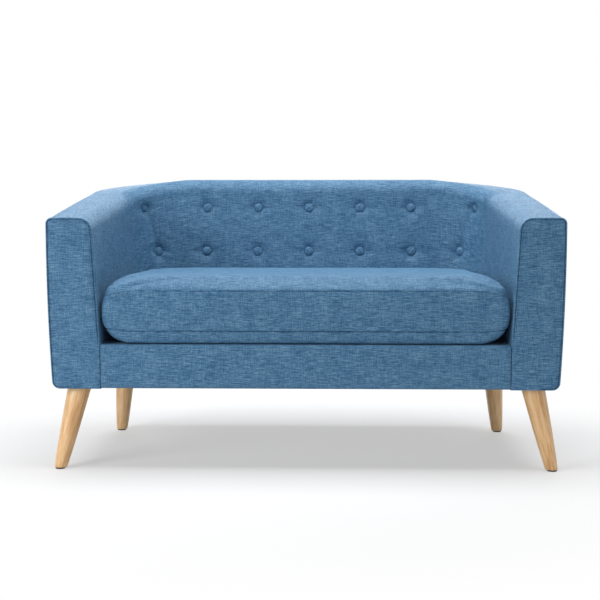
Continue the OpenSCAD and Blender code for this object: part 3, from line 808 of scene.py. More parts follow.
@dataclass(frozen=True)
class PlainFinish(Finish):
    """A hidden or small part's finish: one material, mottled and lightly rough.

    Sawn timber, zinc-plated steel, moulded plastic, felt and webbing differ in their two
    colours, the size of their mottling along and across, and how they take the light.
    """

    label: str
    dark: str
    light: str
    size_mm: Triple = (6.0, 6.0, 6.0)
    roughness: float = 0.8
    metallic: float = 0.0
    ior: float = 1.5
    relief: float = 0.15

    def surface(self, tree: Tree) -> bpy.types.Node:
        """Mottle the surface in object space.

        Args:
            tree: The material's node tree.

        Returns:
            The part's shader.
        """
        at = add_node(tree, "TexCoord").outputs["Object"]
        mottle = Streak(self.size_mm, 1.0, 2.9, 3.0).draw(tree, at)
        colour = add_node(
            tree, "ValToRGB", {"Fac": mottle}, stops=((0.3, self.dark), (0.7, self.light))
        )
        bump = add_node(
            tree, "Bump", {"Strength": self.relief, "Distance": 0.0006, "Height": mottle}
        )
        return add_node(tree, "BsdfPrincipled", {
            "Base Color": colour, "Roughness": self.roughness, "Metallic": self.metallic,
            "IOR": self.ior, "Normal": bump,
        })


LINEN = SlubLinen()
# The same cloth, drawn tight over a button former, so its weave stands out less.
BUTTON_LINEN = SlubLinen("button_linen", bump=0.25)
BEECH = OiledBeech()
# Bonded polyester sewing thread, a little lighter than the cloth.
THREAD = PlainFinish("bonded_thread", "#3f6c95", "#5c8bb3", (1.2, 1.2, 1.2), 0.55)
# Pine and poplar for upholstery frames: sawn, unfinished, with long grain.
SOFTWOOD = PlainFinish("sawn_softwood", "#c9a573", "#e2c79b", (60.0, 8.0, 8.0), 0.75)
# Zinc-plated spring and fixing steel: cool, fairly smooth.
ZINC = PlainFinish("zinc_plated_steel", "#8d9398", "#b3b8bb", (3.0, 3.0, 3.0), 0.38, 1.0)
# Moulded nylon: dark, fine-grained.
NYLON = PlainFinish("moulded_nylon", "#1d1f21", "#2a2d30", (0.8, 0.8, 0.8), 0.5)
# Woven polypropylene webbing, ribbed across.
WEBBING = PlainFinish("woven_webbing", "#b9b2a0", "#d6d0c0", (4.0, 2.0, 2.0), 0.85)
# Hardboard: brown, smooth on one side.
HARDBOARD = PlainFinish("pressed_hardboard", "#8a6a48", "#a3825c", (2.0, 2.0, 2.0), 0.7)
# Spun-bonded dust cloth: black, dimpled.
DUST_CLOTH = PlainFinish(
    "spunbonded_cloth", "#16181b", "#2b2e33", (1.8, 1.8, 1.8), 0.9, relief=0.35
)
# Needled deck cloth over the springs, dark blue-grey.
DECK_CLOTH = PlainFinish(
    "needled_deck_cloth", "#2c343d", "#454f5a", (2.2, 2.2, 2.2), 0.95, relief=0.4
)
# Woven zip tape, dyed to the cloth.
ZIP_TAPE = PlainFinish("woven_zip_tape", "#2b4a6b", "#3a5d82", (0.9, 3.0, 0.9), 0.8)


def dress(
    piece: Piece, finish: Finish, stands_for: Iterable[str] = (),
    body: Body = Body.SETTEE,
) -> Piece:
    """Give a piece its finish and its place in the frame.

    Args:
        piece: The piece.
        finish: Its finish.
        stands_for: CAD nodes that it replaces.
        body: Body that it rides on.

    Returns:
        The same piece.
    """
    piece.data.materials.clear()
    piece.data.materials.append(finish.material())
    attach(piece, body.value)
    nodes = tuple(stands_for)
    if nodes:
        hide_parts(*nodes)
    LOG.info("%s: %d faces, %s", piece.name, len(piece.data.polygons), finish.label)
    return piece


@dataclass
class TubWalls:
    """The padded lining and the outside covers of the arms and back."""

    shape: TubShape
    tufting: Tufting
    step: float = 0.0052
    roll_steps: int = 9
    fold: float = 0.010
    fold_t: float = 0.002
    hem_steps: int = 6
    seam_width: float = 0.0022
    seam_depth: float = 0.0024
    seam_lips: tuple[Pair, ...] = ((0.0006, 0.0007), (0.0002, 0.0035))
    sag: float = 0.0012
    tuft_fade: float = 0.02
    stitch_drop: float = 0.006

    def build(self) -> list[Piece]:
        """Make the lining and the covers, and dress them.

        Returns:
            The lining, the covers and their threads.
        """
        pads = ("inside_back", "inside_arm_left", "inside_arm_right")
        lining = dress(self._lining(), LINEN, pads)
        covers = []
        for cover in self._covers():
            dress(cover, LINEN, (cover.name.replace("_cloth", ""),))
            area, size = self._cut_size(cover)
            covers.append(cover)
        threads = dress(self._topstitching(), THREAD)
        return [lining, *covers, threads]

    @staticmethod
    def _cut_size(cover: Piece) -> tuple[float, Pair]:
        """Measure the cloth that a cover is cut from.

        Args:
            cover: The cover, with its cloth's own coordinates.

        Returns:
            Its area, and the width and height of the rectangle that holds it when laid flat.
        """
        at = np.empty(len(cover.data.loops) * 3)
        cover.data.attributes[COVER_AT].data.foreach_get("vector", at)
        at = at.reshape(-1, 3)
        wide, tall = np.ptp(at[:, 0]), np.ptp(at[:, 1])
        area = sum(face.area for face in cover.data.polygons)
        return min(area, float(wide * tall)), (float(wide), float(tall))

    def sections(self) -> list[float]:
        """Space sections evenly along the right half of the wall.

        Returns:
            The sections.
        """
        shape = self.shape
        ends = [shape.run(p) for p in (0, 1, 2, 3)]
        out: list[float] = []
        for p in range(3):
            count = math.ceil((ends[p + 1] - ends[p]) / self.step)
            out += [p + i / count for i in range(count)]
        return [*out, 3.0]

    def _lining_row(self, p: float, heights: int, flats: int, points: Sequence[Vector]) -> Row:
        """Draw one section of the lining, from the seat to the top seam and back inside.

        Args:
            p: Section along the wall.
            heights: Number of steps up the inside face.
            flats: Number of steps across the flat of the top.
            points: The buttons' points.

        Returns:
            The section's points.
        """
        shape = self.shape
        row: Row = []
        low, high = shape.pad_z, shape.face_top(p)
        for i in range(heights + 1):
            z = lerp(low, high, i / heights)
            ease = clamp((high - z) / self.tuft_fade)
            depth = self.tufting.depth_at(p, z, points) * ease
            row.append(shape.place(p, shape.inner(p, z) + depth, z))
        top, ri, ro = shape.top_z(p), shape.roll_in(p), shape.roll_out(p)
        di, do = shape.inner(p, top - ri), shape.outer(p, top - ro)
        for i in range(1, self.roll_steps + 1):
            a = math.pi / 2 * i / self.roll_steps
            row.append(shape.place(p, di + ri * (1 - math.cos(a)), top - ri * (1 - math.sin(a))))
        start, end = di + ri, do - ro
        for i in range(1, flats):
            share = i / flats
            swell = self.sag * math.sin(math.pi * share)
            row.append(shape.place(p, lerp(start, end, share), top + swell - self.sag))
        for i in range(self.roll_steps + 1):
            a = math.pi / 2 * i / self.roll_steps
            row.append(shape.place(p, do - ro * (1 - math.sin(a)), top - ro * (1 - math.cos(a))))
        seam = shape.seam_z(p)
        for away, inset in ((self.seam_width, 0.0), *self.seam_lips):
            row.append(shape.place(p, shape.outer(p, seam + away, inset), seam + away))
        return row

    def _lining(self) -> Piece:
        """Make the padded inside of the arms and back, in one dense skin.

        Returns:
            The lining.
        """
        shape, points = self.shape, self.tufting.points()
        heights = math.ceil((shape.overall_h - shape.pad_z) / self.step)
        flats = math.ceil(shape.back_t / self.step / 1.6)
        places = self.sections()
        rows = both_halves(lambda p: self._lining_row(p, heights, flats, points), places)
        loft = Loft("tub_lining")
        loft.rows(rows, running([row[heights // 2] for row in rows]))
        return loft.done()

    def _cover_row(self, p: float) -> Row:
        """Draw one section of an outside cover, from its top seam to the fold below.

        Args:
            p: Section along the wall.

        Returns:
            The section's points.
        """
        shape = self.shape
        seam = shape.seam_z(p)
        row = [shape.place(p, shape.outer(p, seam, inset), seam - down)
               for down, inset in reversed(self.seam_lips)]
        low = shape.body_z + shape.hem_r
        for z in spaced(seam - self.seam_width, low, self.step * 2):
            row.append(shape.place(p, shape.outer(p, z), z))
        for i in range(1, self.hem_steps + 1):
            z = shape.body_z + shape.hem_r * (1 - math.sin(math.pi / 2 * i / self.hem_steps))
            row.append(shape.place(p, shape.outer(p, z), z))
        edge = shape.outer(p, shape.body_z)
        row.append(shape.place(p, edge - self.fold, shape.body_z))
        row.append(shape.place(p, edge - self.fold, shape.body_z + self.fold_t))
        return row

    def _sewn_in(self, row: Row) -> Row:
        """Turn a cover's end row inwards, as cloth turns into a sewn seam."""
        return [v + Vector((-v.x, -v.y, 0.0)).normalized() * self.seam_depth for v in row]

    def _covers(self) -> list[Piece]:
        """Make the outside covers, which meet at a sewn seam near each rear corner.

        Returns:
            The right, left and back cover.
        """
        seam_p = (self.tufting.upper_corner + self.tufting.lower_corner) / 2
        edge = self.seam_width / self.shape.corner_run
        count = min(len(self._cover_row(p)) for p in (0.0, 0.5, 1.0, seam_p, 2.0, 3.0))
        arm_places = [p for p in self.sections() if p < seam_p - 2 * edge]
        back_places = [p for p in self.sections() if p > seam_p + 2 * edge]
        arm = [self._even(p, count) for p in [*arm_places, seam_p - edge, seam_p]]
        arm[-1] = self._sewn_in(arm[-1])
        back = both_halves(lambda p: self._even(p, count), [seam_p, seam_p + edge, *back_places])
        back[0], back[-1] = self._sewn_in(back[0]), self._sewn_in(back[-1])
        mirrored = [[Vector((-v.x, v.y, v.z)) for v in row] for row in arm]
        made = []
        for name, rows in (("arm_right", arm), ("arm_left", mirrored), ("back", back)):
            loft = Loft(f"outside_{name}_cloth")
            loft.rows(rows, running([row[count // 2] for row in rows]))
            made.append(loft.done())
        return made

    def _even(self, p: float, count: int) -> Row:
        """Give a cover's row a set number of points, so that rows join.

        Args:
            p: Section along the wall.
            count: Number of points wanted.

        Returns:
            The row's points, evenly spaced down its face.
        """
        row = self._cover_row(p)
        face_from, face_to = 2, len(row) - self.hem_steps - 2
        face = row[face_from:face_to]
        wanted = count - (len(row) - len(face))
        at = running(face)
        even = [point_at(face, at, at[-1] * i / (wanted - 1)) for i in range(wanted)]
        return row[:face_from] + even + row[face_to:]

    def _topstitching(self) -> Piece:
        """Sew beside the top seam, all round the outside.

        Returns:
            The threads.
        """
        shape = self.shape

        def below_seam(p: float) -> Row:
            """The one point of a section that the stitches pass through."""
            z = shape.seam_z(p) - self.stitch_drop
            return [shape.place(p, shape.outer(p, z), z)]

        line = [row[0] for row in both_halves(below_seam, self.sections())]
        loft = Loft("top_seam_threads")
        HEAVY_STITCHING.sew(loft, line, lambda v: Vector((v.x, v.y, 0.0)).normalized())
        return loft.done(FINE_WELD)


@dataclass
class FrontPanels:
    """The arm fronts, each with a seam sunk just inside its edge, and the border between them."""

    shape: TubShape
    seam_in: float = 0.0046
    seam_fade: float = 0.030
    roundness: float = 0.8
    pillow: float = 0.0014
    pillow_from: float = 0.030
    seam_sunk: float = 0.0040
    seam_half: float = 0.0011
    stitch_in: float = 0.0044
    stitch_sunk: float = 0.0008
    thread_level: float = 0.6
    border_gap: float = 0.0003
    border_rise: float = 0.0038
    border_tuck: float = 0.0014
    strip: float = 0.085
    fine: float = 0.0007
    coarse: float = 0.005
    fine_band: float = 0.036
    step: float = 0.006

    def build(self) -> list[Piece]:
        """Make and dress the two arm fronts, the front border and their threads.

        Returns:
            The arm fronts, each with its threads, and the border.
        """
        made = []
        for side, name in ((1, "right"), (-1, "left")):
            panel = dress(self._arm_front(side), LINEN, (f"arm_front_{name}",))
            made += [panel, dress(self._threads(side), THREAD)]
        border = dress(self._border(), LINEN, ("front_border",))
        return [*made, border]

    def _span(self, z: float) -> Pair:
        """Find an arm front's edges at a height.

        Args:
            z: The height.

        Returns:
            Sideways places of its inner and outer edge.
        """
        shape = self.shape
        top, ri, ro = shape.top_z(0), shape.roll_in(0), shape.roll_out(0)
        inner = shape.inner(0, min(max(z, shape.pad_z), top - ri))
        outer = shape.outer(0, min(z, top - ro))
        if z > top - ri:
            inner += ri - math.sqrt(max(0.0, ri**2 - (z - top + ri) ** 2))
        if z > top - ro:
            outer -= ro - math.sqrt(max(0.0, ro**2 - (z - top + ro) ** 2))
        return inner, outer

    def _graded(self, start: float, end: float) -> list[float]:
        """Split a span finely near its ends and coarsely between.

        Args:
            start: First value.
            end: Last value.

        Returns:
            The values, both ends included.
        """
        low = spaced(start, start + self.fine_band, self.fine)
        high = spaced(end - self.fine_band, end, self.fine)
        return [*low, *spaced(low[-1], high[0], self.coarse)[1:-1], *high]

    def _edge_line(self) -> list[Pair]:
        """Draw round an arm front, up its inner edge and down its outer one.

        Returns:
            The outline's distances across and heights.
        """
        shape = self.shape
        heights = self._graded(shape.body_z, shape.top_z(0))
        up = [(self._span(z)[0], z) for z in heights]
        down = [(self._span(z)[1], z) for z in reversed(heights)]
        across = spaced(up[-1][0], down[0][0], self.fine * 2)[1:-1]
        back = spaced(down[-1][0], up[0][0], self.fine * 2)[1:-1]
        top, bottom = shape.top_z(0), shape.body_z
        return up + [(d, top) for d in across] + down + [(d, bottom) for d in back]

    def _from_edge(self, places: np.ndarray) -> np.ndarray:
        """Distance of each place from the arm front's edge.

        Args:
            places: Rows of distance across and height.

        Returns:
            The distances.
        """
        line = np.array(self._edge_line())
        ab = np.roll(line, -1, axis=0) - line
        span = np.maximum((ab**2).sum(axis=1), 1e-12)
        out = np.empty(len(places))
        for k in range(0, len(places), CHUNK):
            part = places[k : k + CHUNK, None]
            share = np.clip(((part - line) * ab).sum(axis=2) / span, 0, 1)
            away = np.linalg.norm(part - (line + ab * share[..., None]), axis=2)
            out[k : k + CHUNK] = away.min(axis=1)
        return out

    def _sunk(self, places: np.ndarray) -> np.ndarray:
        """Sink the arm front's face behind its plane: rounded edge, seam and fullness.

        Args:
            places: Rows of distance across and height.

        Returns:
            The depth at each place.
        """
        shape, distance = self.shape, self._from_edge(places)
        inside = np.clip(distance / self.seam_in, 0, 1)
        turned = 1 - np.sqrt(np.maximum(0.0, 1 - (1 - inside) ** 2))
        above = np.clip((places[:, 1] - shape.pad_z) / self.seam_fade, 0, 1)
        outer_half = places[:, 0] > shape.half_w - shape.arm_t / 2
        sewn = np.where(outer_half, 1.0, above)
        groove = np.exp(-(((distance - self.seam_in) / self.seam_half) ** 2))
        stitched = np.exp(-(((distance - self.seam_in - self.stitch_in) / self.seam_half) ** 2))
        within = np.clip((distance - self.seam_in) / self.pillow_from, 0, 1)
        full = self.pillow * (1 - within**0.7)
        lines = sewn * (self.seam_sunk * groove + self.stitch_sunk * stitched)
        return self.seam_in * self.roundness * turned + lines + full

    def _arm_front(self, side: int) -> Piece:
        """Make one arm front: a full, stitched face that turns over its edge to the sides.

        Args:
            side: 1 for the right one, -1 for the left.

        Returns:
            The arm front.
        """
        shape = self.shape
        heights = self._graded(shape.body_z, shape.top_z(0))
        shares = [d / shape.arm_t for d in self._graded(0.0, shape.arm_t)]
        places = np.array([
            (lerp(*self._span(z), share), z) for z in heights for share in shares
        ])
        y = shape.front_y + self._sunk(places)
        loft = Loft(f"arm_front_{'right' if side > 0 else 'left'}_cloth")
        verts = [loft.mesh.verts.new((side * x, depth, z)) for (x, z), depth in zip(places, y)]
        wide, tall = len(shares), len(heights)
        for j in range(tall - 1):
            for i in range(wide - 1):
                k = j * wide + i
                quad = [verts[k], verts[k + 1], verts[k + wide + 1], verts[k + wide]]
                loft.face(quad, [(v.co.x, v.co.z) for v in quad])
        rim = [k * wide for k in range(tall)] + [(tall - 1) * wide + i for i in range(1, wide)]
        rim += [k * wide + wide - 1 for k in reversed(range(tall - 1))]
        rim += range(wide - 2, 0, -1)
        behind = [
            loft.mesh.verts.new((verts[k].co.x, shape.panel_back_y, verts[k].co.z)) for k in rim
        ]
        for i, k in enumerate(rim):
            n = (i + 1) % len(rim)
            quad = [verts[k], verts[rim[n]], behind[n], behind[i]]
            loft.face(quad, [(v.co.x, v.co.z - (v.co.y - shape.front_y)) for v in quad])
        return loft.done()

    def _threads(self, side: int) -> Piece:
        """Sew beside the seam, up the inner edge and over the top of an arm front.

        Args:
            side: 1 for the right one, -1 for the left.

        Returns:
            The threads.
        """
        shape = self.shape
        outline = [v for v in self._edge_line() if v[1] > shape.pad_z + self.seam_fade]
        middle = shape.half_w - shape.arm_t / 2
        over = shape.top_z(0) - shape.roll_out(0) / 2
        sewn = [v for v in outline if v[0] < middle or v[1] > over]
        loft = Loft(f"arm_front_{'right' if side > 0 else 'left'}_threads")
        face = shape.front_y + self.pillow * self.thread_level
        inset = self._inset(sewn, self.seam_in + self.stitch_in)
        line = [Vector((side * x, face, z)) for x, z in inset[1:-1]]
        Stitching().sew(loft, line, lambda v: Vector((0.0, -1.0, 0.0)))
        return loft.done(FINE_WELD)

    @staticmethod
    def _inset(points: Sequence[Pair], by: float) -> list[Pair]:
        """Move a line to its right, square to itself.

        Args:
            points: The line.
            by: Distance that it moves.

        Returns:
            The moved points.
        """
        out = []
        for i, (x, z) in enumerate(points):
            (ax, az), (bx, bz) = points[max(i - 1, 0)], points[min(i + 1, len(points) - 1)]
            tx, tz = bx - ax, bz - az
            length = math.hypot(tx, tz) or 1.0
            out.append((x + tz / length * by, z - tx / length * by))
        return out

    def _border(self) -> Piece:
        """Make the border: turned under at the bottom, up the front, back over the deck's edge.

        Returns:
            The border.
        """
        shape = self.shape
        _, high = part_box("front_border")
        r = shape.panel_t / 2
        y1, top, bottom = shape.front_y, high[2] + self.border_rise, shape.body_z
        profile = [(y, top) for y in spaced(shape.front_y + self.strip, y1 + r, self.step)[:-1]]
        profile += arc((y1 + r, top - r), r, 90, 180, 10)
        profile += [(y1, z) for z in spaced(top - r, bottom + shape.hem_r, self.step)[1:]]
        profile += arc((y1 + shape.hem_r, bottom + shape.hem_r), shape.hem_r, 180, 270, 8)[1:]
        half = high[0] - self.border_gap
        inner = spaced(-half + 0.004, half - 0.004, 0.012)
        xs = [-half, -half + 0.0012, *inner, half - 0.0012, half]
        rows = []
        for x in xs:
            tuck = self.border_tuck * bell(half - abs(x), 0.0018)
            wave = 0.0006 * noise.noise(Vector((x * 9, 0.0, 2.0)))
            row = []
            for y, z in profile:
                toe = shape.arm_toe * max(0.0, y - shape.panel_back_y) / shape.arm_run
                in_front = z < top - r
                row.append(Vector((
                    x * (half - toe) / half, y + (tuck + wave if in_front else 0.0),
                    z - (0.0 if in_front else tuck * 0.3),
                )))
            rows.append(row)
        loft = Loft("front_border_cloth")
        loft.rows(rows, [row[-1].x for row in rows])
        return loft.done()


@dataclass
class CoveredButtons:
    """Fourteen cloth-covered buttons, each drawn into its dimple."""

    tufting: Tufting
    rise: float = 0.0052
    rim: float = 0.0062
    pleat: float = 0.00035
    pleats: int = 8
    turns: int = 40
    rings: int = 12

    def build(self) -> list[Piece]:
        """Make and dress the buttons as one piece.

        Returns:
            The buttons.
        """
        loft = Loft("covered_buttons")
        shape = self.tufting.shape
        points = self.tufting.points()
        for index, (p, z) in enumerate(self.tufting.places()):
            here = self._on_face(p, z, points)
            along = self._on_face(p + 0.01, z, points) - self._on_face(p - 0.01, z, points)
            up = self._on_face(p, z + 0.004, points) - self._on_face(p, z - 0.004, points)
            out = along.cross(up).normalized()
            if out.dot(Vector((shape.place(p, 0.0, z) - here))) < 0:
                out = -out
            for side in (1, -1):
                if side > 0 or here.x > self.tufting.button_d:
                    mirror = Matrix.Diagonal((side, 1.0, 1.0))
                    self._button(loft, mirror @ here, mirror @ out, 0.7 * index + side)
        return [dress(loft.done(FINE_WELD), BUTTON_LINEN, ("tufting_buttons",))]

    def _on_face(self, p: float, z: float, points: Sequence[Vector]) -> Vector:
        """Find a point of the tufted face."""
        shape = self.tufting.shape
        return shape.place(p, shape.inner(p, z) + self.tufting.depth_at(p, z, points), z)

    def _button(self, loft: Loft, centre: Vector, out: Vector, turn: float) -> None:
        """Add one button: a domed top that rolls over its rim and tucks in behind.

        Args:
            loft: Skin that the button is added to.
            centre: Its middle, on the padding.
            out: Direction that it faces.
            turn: Offset that makes its pleats and cloth its own.
        """
        side = out.orthogonal().normalized()
        up = out.cross(side)
        r = self.tufting.button_d / 2
        profile: list[Pair] = [(r * 0.80, -0.0020), (r * 0.96, -0.0004), (r, self.rim * 0.45)]
        for i in range(self.rings + 1):
            share = 1 - i / self.rings
            profile.append((r * 0.985 * share, self.rim + self.rise * (1 - share**2.4) * 0.55))
        rows = []
        for k in range(self.turns):
            a = math.tau * k / self.turns
            pleat = self.pleat * math.cos(self.pleats * a + turn)
            ray = side * math.cos(a) + up * math.sin(a)
            rows.append([
                centre + ray * (d + (pleat if d > r * 0.9 else 0.0)) + out * h for d, h in profile
            ])
        verts = [[loft.mesh.verts.new(v) for v in row] for row in rows]
        for k in range(self.turns):
            this, after = verts[k], verts[(k + 1) % self.turns]
            for i in range(len(profile) - 1):
                quad = [this[i], this[i + 1], after[i + 1], after[i]]
                at = [((v.co - centre).dot(side) + turn, (v.co - centre).dot(up)) for v in quad]
                loft.face(quad, at)


@dataclass(frozen=True)
class Foot:
    """Where one leg stands and where it meets the frame."""

    name: str
    centre: Vector
    splay: Pair
    top_z: float = 0.200

    @property
    def top(self) -> Vector:
        """Find the middle of the leg at the underside of the body.

        Returns:
            The point, which lies further in than the foot.
        """
        x, y, _ = self.centre
        inward_x, inward_y = math.copysign(self.splay[0], x), math.copysign(self.splay[1], y)
        return Vector((x - inward_x, y - inward_y, self.top_z))

    @classmethod
    def from_record(cls) -> list[Foot]:
        """Read the four feet from the record's floor mounts.

        Returns:
            The feet.
        """
        feet = []
        for mount in frame["record"]["mounts"]:
            x, y, _ = mount["pos_m"]
            name = f"{'rear' if y > 0 else 'front'}_{'right' if x > 0 else 'left'}"
            feet.append(cls(name, Vector((x, y, 0.0)), (0.021 if y > 0 else 0.043, 0.038)))
        return feet


FEET = Foot.from_record()


@dataclass(frozen=True)
class SeatPlan:
    """Outlines of the seat inside the walls: round front corners, tapered sides, round rear."""

    shape: TubShape
    step: float = 0.008

    @property
    def side(self) -> float:
        """Half the seat's width at the front."""
        return self.shape.inner(0.0, self.shape.pad_z)

    @property
    def rear(self) -> float:
        """Rear of the seat at its middle."""
        return self.shape.rear_y - self.shape.back_t - self.shape.back_lean

    def outline(self, gap: float, front: float, corner: float, pull: float = 0.0) -> list[Pair]:
        """A closed outline, anticlockwise from the middle of the front.

        Args:
            gap: Clearance from the walls.
            front: Fore-and-aft place of the front.
            corner: Radius of the front corners.
            pull: How far the long sides draw in at their middle.

        Returns:
            Points without a repeat at the end.
        """
        w0, w1, rear = self.side - gap, self.side - self.shape.arm_toe - gap, self.rear - gap
        r_rear = self.shape.inner_corner_r - self.shape.arm_lean - gap
        y_side = rear - r_rear
        across = spaced(0.0, w0 - corner, self.step)
        right = [(x, front + pull * (1 - (x / w0) ** 2)) for x in across]
        right += arc((w0 - corner, front + corner), corner, -90, 0, 8)[1:]
        for y in spaced(front + corner, y_side, self.step)[1:]:
            f = (y - front - corner) / (y_side - front - corner)
            right.append((lerp(w0, w1, f) - pull * 4 * f * (1 - f), y))
        right += arc((w1 - r_rear, y_side), r_rear, 0, 90, 24)[1:]
        right += [(x, rear) for x in spaced(w1 - r_rear, 0.0, self.step)[1:]]
        return right + [(-x, y) for x, y in reversed(right[1:-1])]

    def shrunk(self, outline: Sequence[Pair], by: float, sides: float = 0.0) -> list[Pair]:
        """Draw an outline in towards the middle of the seat.

        Args:
            outline: The outline.
            by: Distance that its edges move in.
            sides: How much further its sides do.

        Returns:
            The smaller outline.
        """
        mid = (self.shape.front_y + self.rear) / 2
        half = (self.rear - self.shape.front_y) / 2
        return [
            (x * (self.side - by - sides) / self.side, mid + (y - mid) * (half - by) / half)
            for x, y in outline
        ]


@dataclass(frozen=True)
class Filling:
    """How the cushion's cloth behaves while the simulation blows it up."""

    frames: int = 20
    pressure: float = 2.2
    quality: int = 5
    mass: float = 0.35
    stretch: float = 18.0
    shear: float = 8.0
    bending: float = 0.5
    least_pin: float = 0.2
    most_moved: float = 0.024


@dataclass
class SeatCushion:
    """The loose bench cushion: a boxed cover over foam, filled out by a cloth simulation."""

    plan: SeatPlan
    gap: float = 0.0012
    crown_up: float = 0.031
    crown_down: float = 0.0315
    belly_h: float = 0.032
    border_h: float = 0.098
    crown_run: float = 0.150
    crown_bulge: float = 0.20
    side_in: float = 0.007
    corner_reach: float = 0.045
    corner_drop: float = 0.014
    corner_lift: float = 0.006
    belly_run: float = 0.055
    belly_run_front: float = 0.006
    belly_fullness: float = 3.2
    belly_front_from: Pair = (0.055, 0.06)
    front_corner: float = 0.026
    front_gap: float = 0.0003
    side_gap: float = 0.0008
    headroom: float = 0.004
    edge_fade: float = 0.012
    swell: float = 0.005
    pull: float = 0.004
    voxel: float = 0.006
    filling: Filling = Filling()
    seam_sunk: float = 0.0026
    lower_seam_sunk: float = 0.0042
    seam_half: float = 0.0013
    seam_band: float = 0.0055
    seam_reach: float = 4.0
    pucker: float = 0.0004
    pucker_waves: tuple[Triple, ...] = ((0.017, 1.0, 0.0), (0.0261, 0.6, 1.3))
    even_sides: float = 0.25
    zip_l: float = 0.640
    zip_w: float = 0.026
    tape_t: float = 0.001
    zip_lip: float = 0.0011
    zip_sewn_in: float = 0.003
    tooth: float = 0.0016
    tooth_r: float = 0.0005
    tooth_lean: float = 0.0003
    tooth_turns: tuple[Pair, ...] = (
        (-0.0026, 0.0011), (0.0, 0.0019), (0.0026, 0.0016), (0.0026, 0.0011),
    )
    zip_draw: float = 0.018
    zip_proud: float = 0.0002
    low: float = field(init=False)
    top: float = field(init=False)
    seam_low: float = field(init=False)
    seam_up: float = field(init=False)
    front_y: float = field(init=False)
    rear_y: float = field(init=False)
    outline: list[Pair] = field(init=False)

    def __post_init__(self) -> None:
        """Work out the cushion's planes from the frame."""
        box_low, box_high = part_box("cushion_cover")
        self.low, self.top = box_low[2], box_high[2]
        self.seam_low = self.low + self.belly_h
        self.seam_up = self.seam_low + self.border_h
        self.front_y = self.plan.shape.front_y + self.swell + self.front_gap
        self.rear_y = self.plan.rear - self.gap
        self.outline = self.plan.outline(self.gap, self.front_y, self.front_corner, self.pull)

    def build(self) -> list[Piece]:
        """Make the cover, fill it, sew its seams, and add the zip.

        Returns:
            The cover and the zip's pieces.
        """
        cover = self._block()
        self._fill(cover)
        self._smooth(cover)
        self._divide_seams(cover)
        self._sew(cover)
        self._lay_cloth(cover)
        dress(cover, LINEN, ("cushion_cover", "cushion_foam"), Body.CUSHION)
        return [cover, *self._zip()]

    def _seam_z(self, places: np.ndarray, upper: bool) -> np.ndarray:
        """Level the seams, which draw together at the front corners.

        Args:
            places: Rows of x, y and more.
            upper: Whether the upper seam is wanted.

        Returns:
            The seam's height at each place.
        """
        aside = (self.plan.side - np.abs(places[:, 0])) / self.corner_reach
        back = (places[:, 1] - self.front_y) / self.corner_reach
        corner = np.exp(-(aside**2)) * np.exp(-(back**2))
        if upper:
            return self.seam_up - self.corner_drop * corner
        return self.seam_low + self.corner_lift * corner

    def _belly(self, f: float) -> list[Pair]:
        """Draw a ring of the belly, which tucks in less along the front than elsewhere.

        Args:
            f: Share of the way in and down from the lower seam.

        Returns:
            The ring's outline.
        """
        near = self.plan.shrunk(self.outline, f * self.belly_run_front, self.side_in)
        far = self.plan.shrunk(self.outline, f * self.belly_run, self.side_in)
        across, along = self.belly_front_from
        out = []
        for (x, y), (nx, ny), (fx, fy) in zip(self.outline, near, far):
            front = clamp(1 - (y - self.front_y) / along)
            front *= clamp((self.plan.side - abs(x)) / across)
            out.append((lerp(fx, nx, front), lerp(fy, ny, front)))
        return out

    def _block(self) -> Piece:
        """Draw the cushion before it is filled: belly, upright border and crown.

        Returns:
            The cover, evenly meshed.
        """
        levels: list[tuple[list[Pair], float, float]] = []
        outline, shrunk = self.outline, self.plan.shrunk
        for f in (1.0, 0.86, 0.7, 0.54, 0.4, 0.28, 0.18, 0.1, 0.04):
            drop = self.crown_down * (1 - (1 - f) ** self.belly_fullness)
            levels.append((self._belly(f), 0.0, -drop))
        for i in range(9):
            f = i / 8
            bulge = math.sin(math.pi * f)
            ring = shrunk(outline, -self.swell * 0.7 * bulge, self.side_in * (1 - bulge**0.6))
            levels.append((ring, f, 0.0))
        for f in (0.005, 0.015, 0.035, 0.07, 0.14, 0.24, 0.38, 0.55, 0.75, 1.0, 1.25):
            rise = self.crown_up * math.sin(math.pi / 2 * min(1.0, f) ** self.crown_bulge)
            levels.append((shrunk(outline, f * self.crown_run, self.side_in), 1.0, rise))
        loft = Loft("seat_cushion_cover")
        rings = []
        for points, up, above in levels:
            places = np.array([(x, y, 0.0) for x, y in points])
            heights = lerp(self._seam_z(places, False), self._seam_z(places, True), up) + above
            rings.append([loft.mesh.verts.new((x, y, z)) for (x, y, _), z in zip(places, heights)])
        loft.bands(rings)
        loft.flat_face(list(reversed(rings[0])))
        loft.flat_face(rings[-1])
        made = loft.done()
        modifier = made.modifiers.new("even_faces", "REMESH")
        modifier.mode, modifier.voxel_size = "VOXEL", self.voxel
        self._apply(made)
        return made

    @staticmethod
    def _apply(piece: Piece) -> None:
        """Make a piece's modifiers part of its mesh.

        Args:
            piece: The piece.
        """
        shaped = piece.evaluated_get(bpy.context.evaluated_depsgraph_get())
        data = bpy.data.meshes.new_from_object(shaped)
        piece.modifiers.clear()
        piece.data = data

    @staticmethod
    def _points(piece: Piece) -> np.ndarray:
        """Read a mesh's vertex places.

        Args:
            piece: The mesh's object.

        Returns:
            Rows of x, y and z.
        """
        out = np.empty(len(piece.data.vertices) * 3)
        piece.data.vertices.foreach_get("co", out)
        return out.reshape(-1, 3)

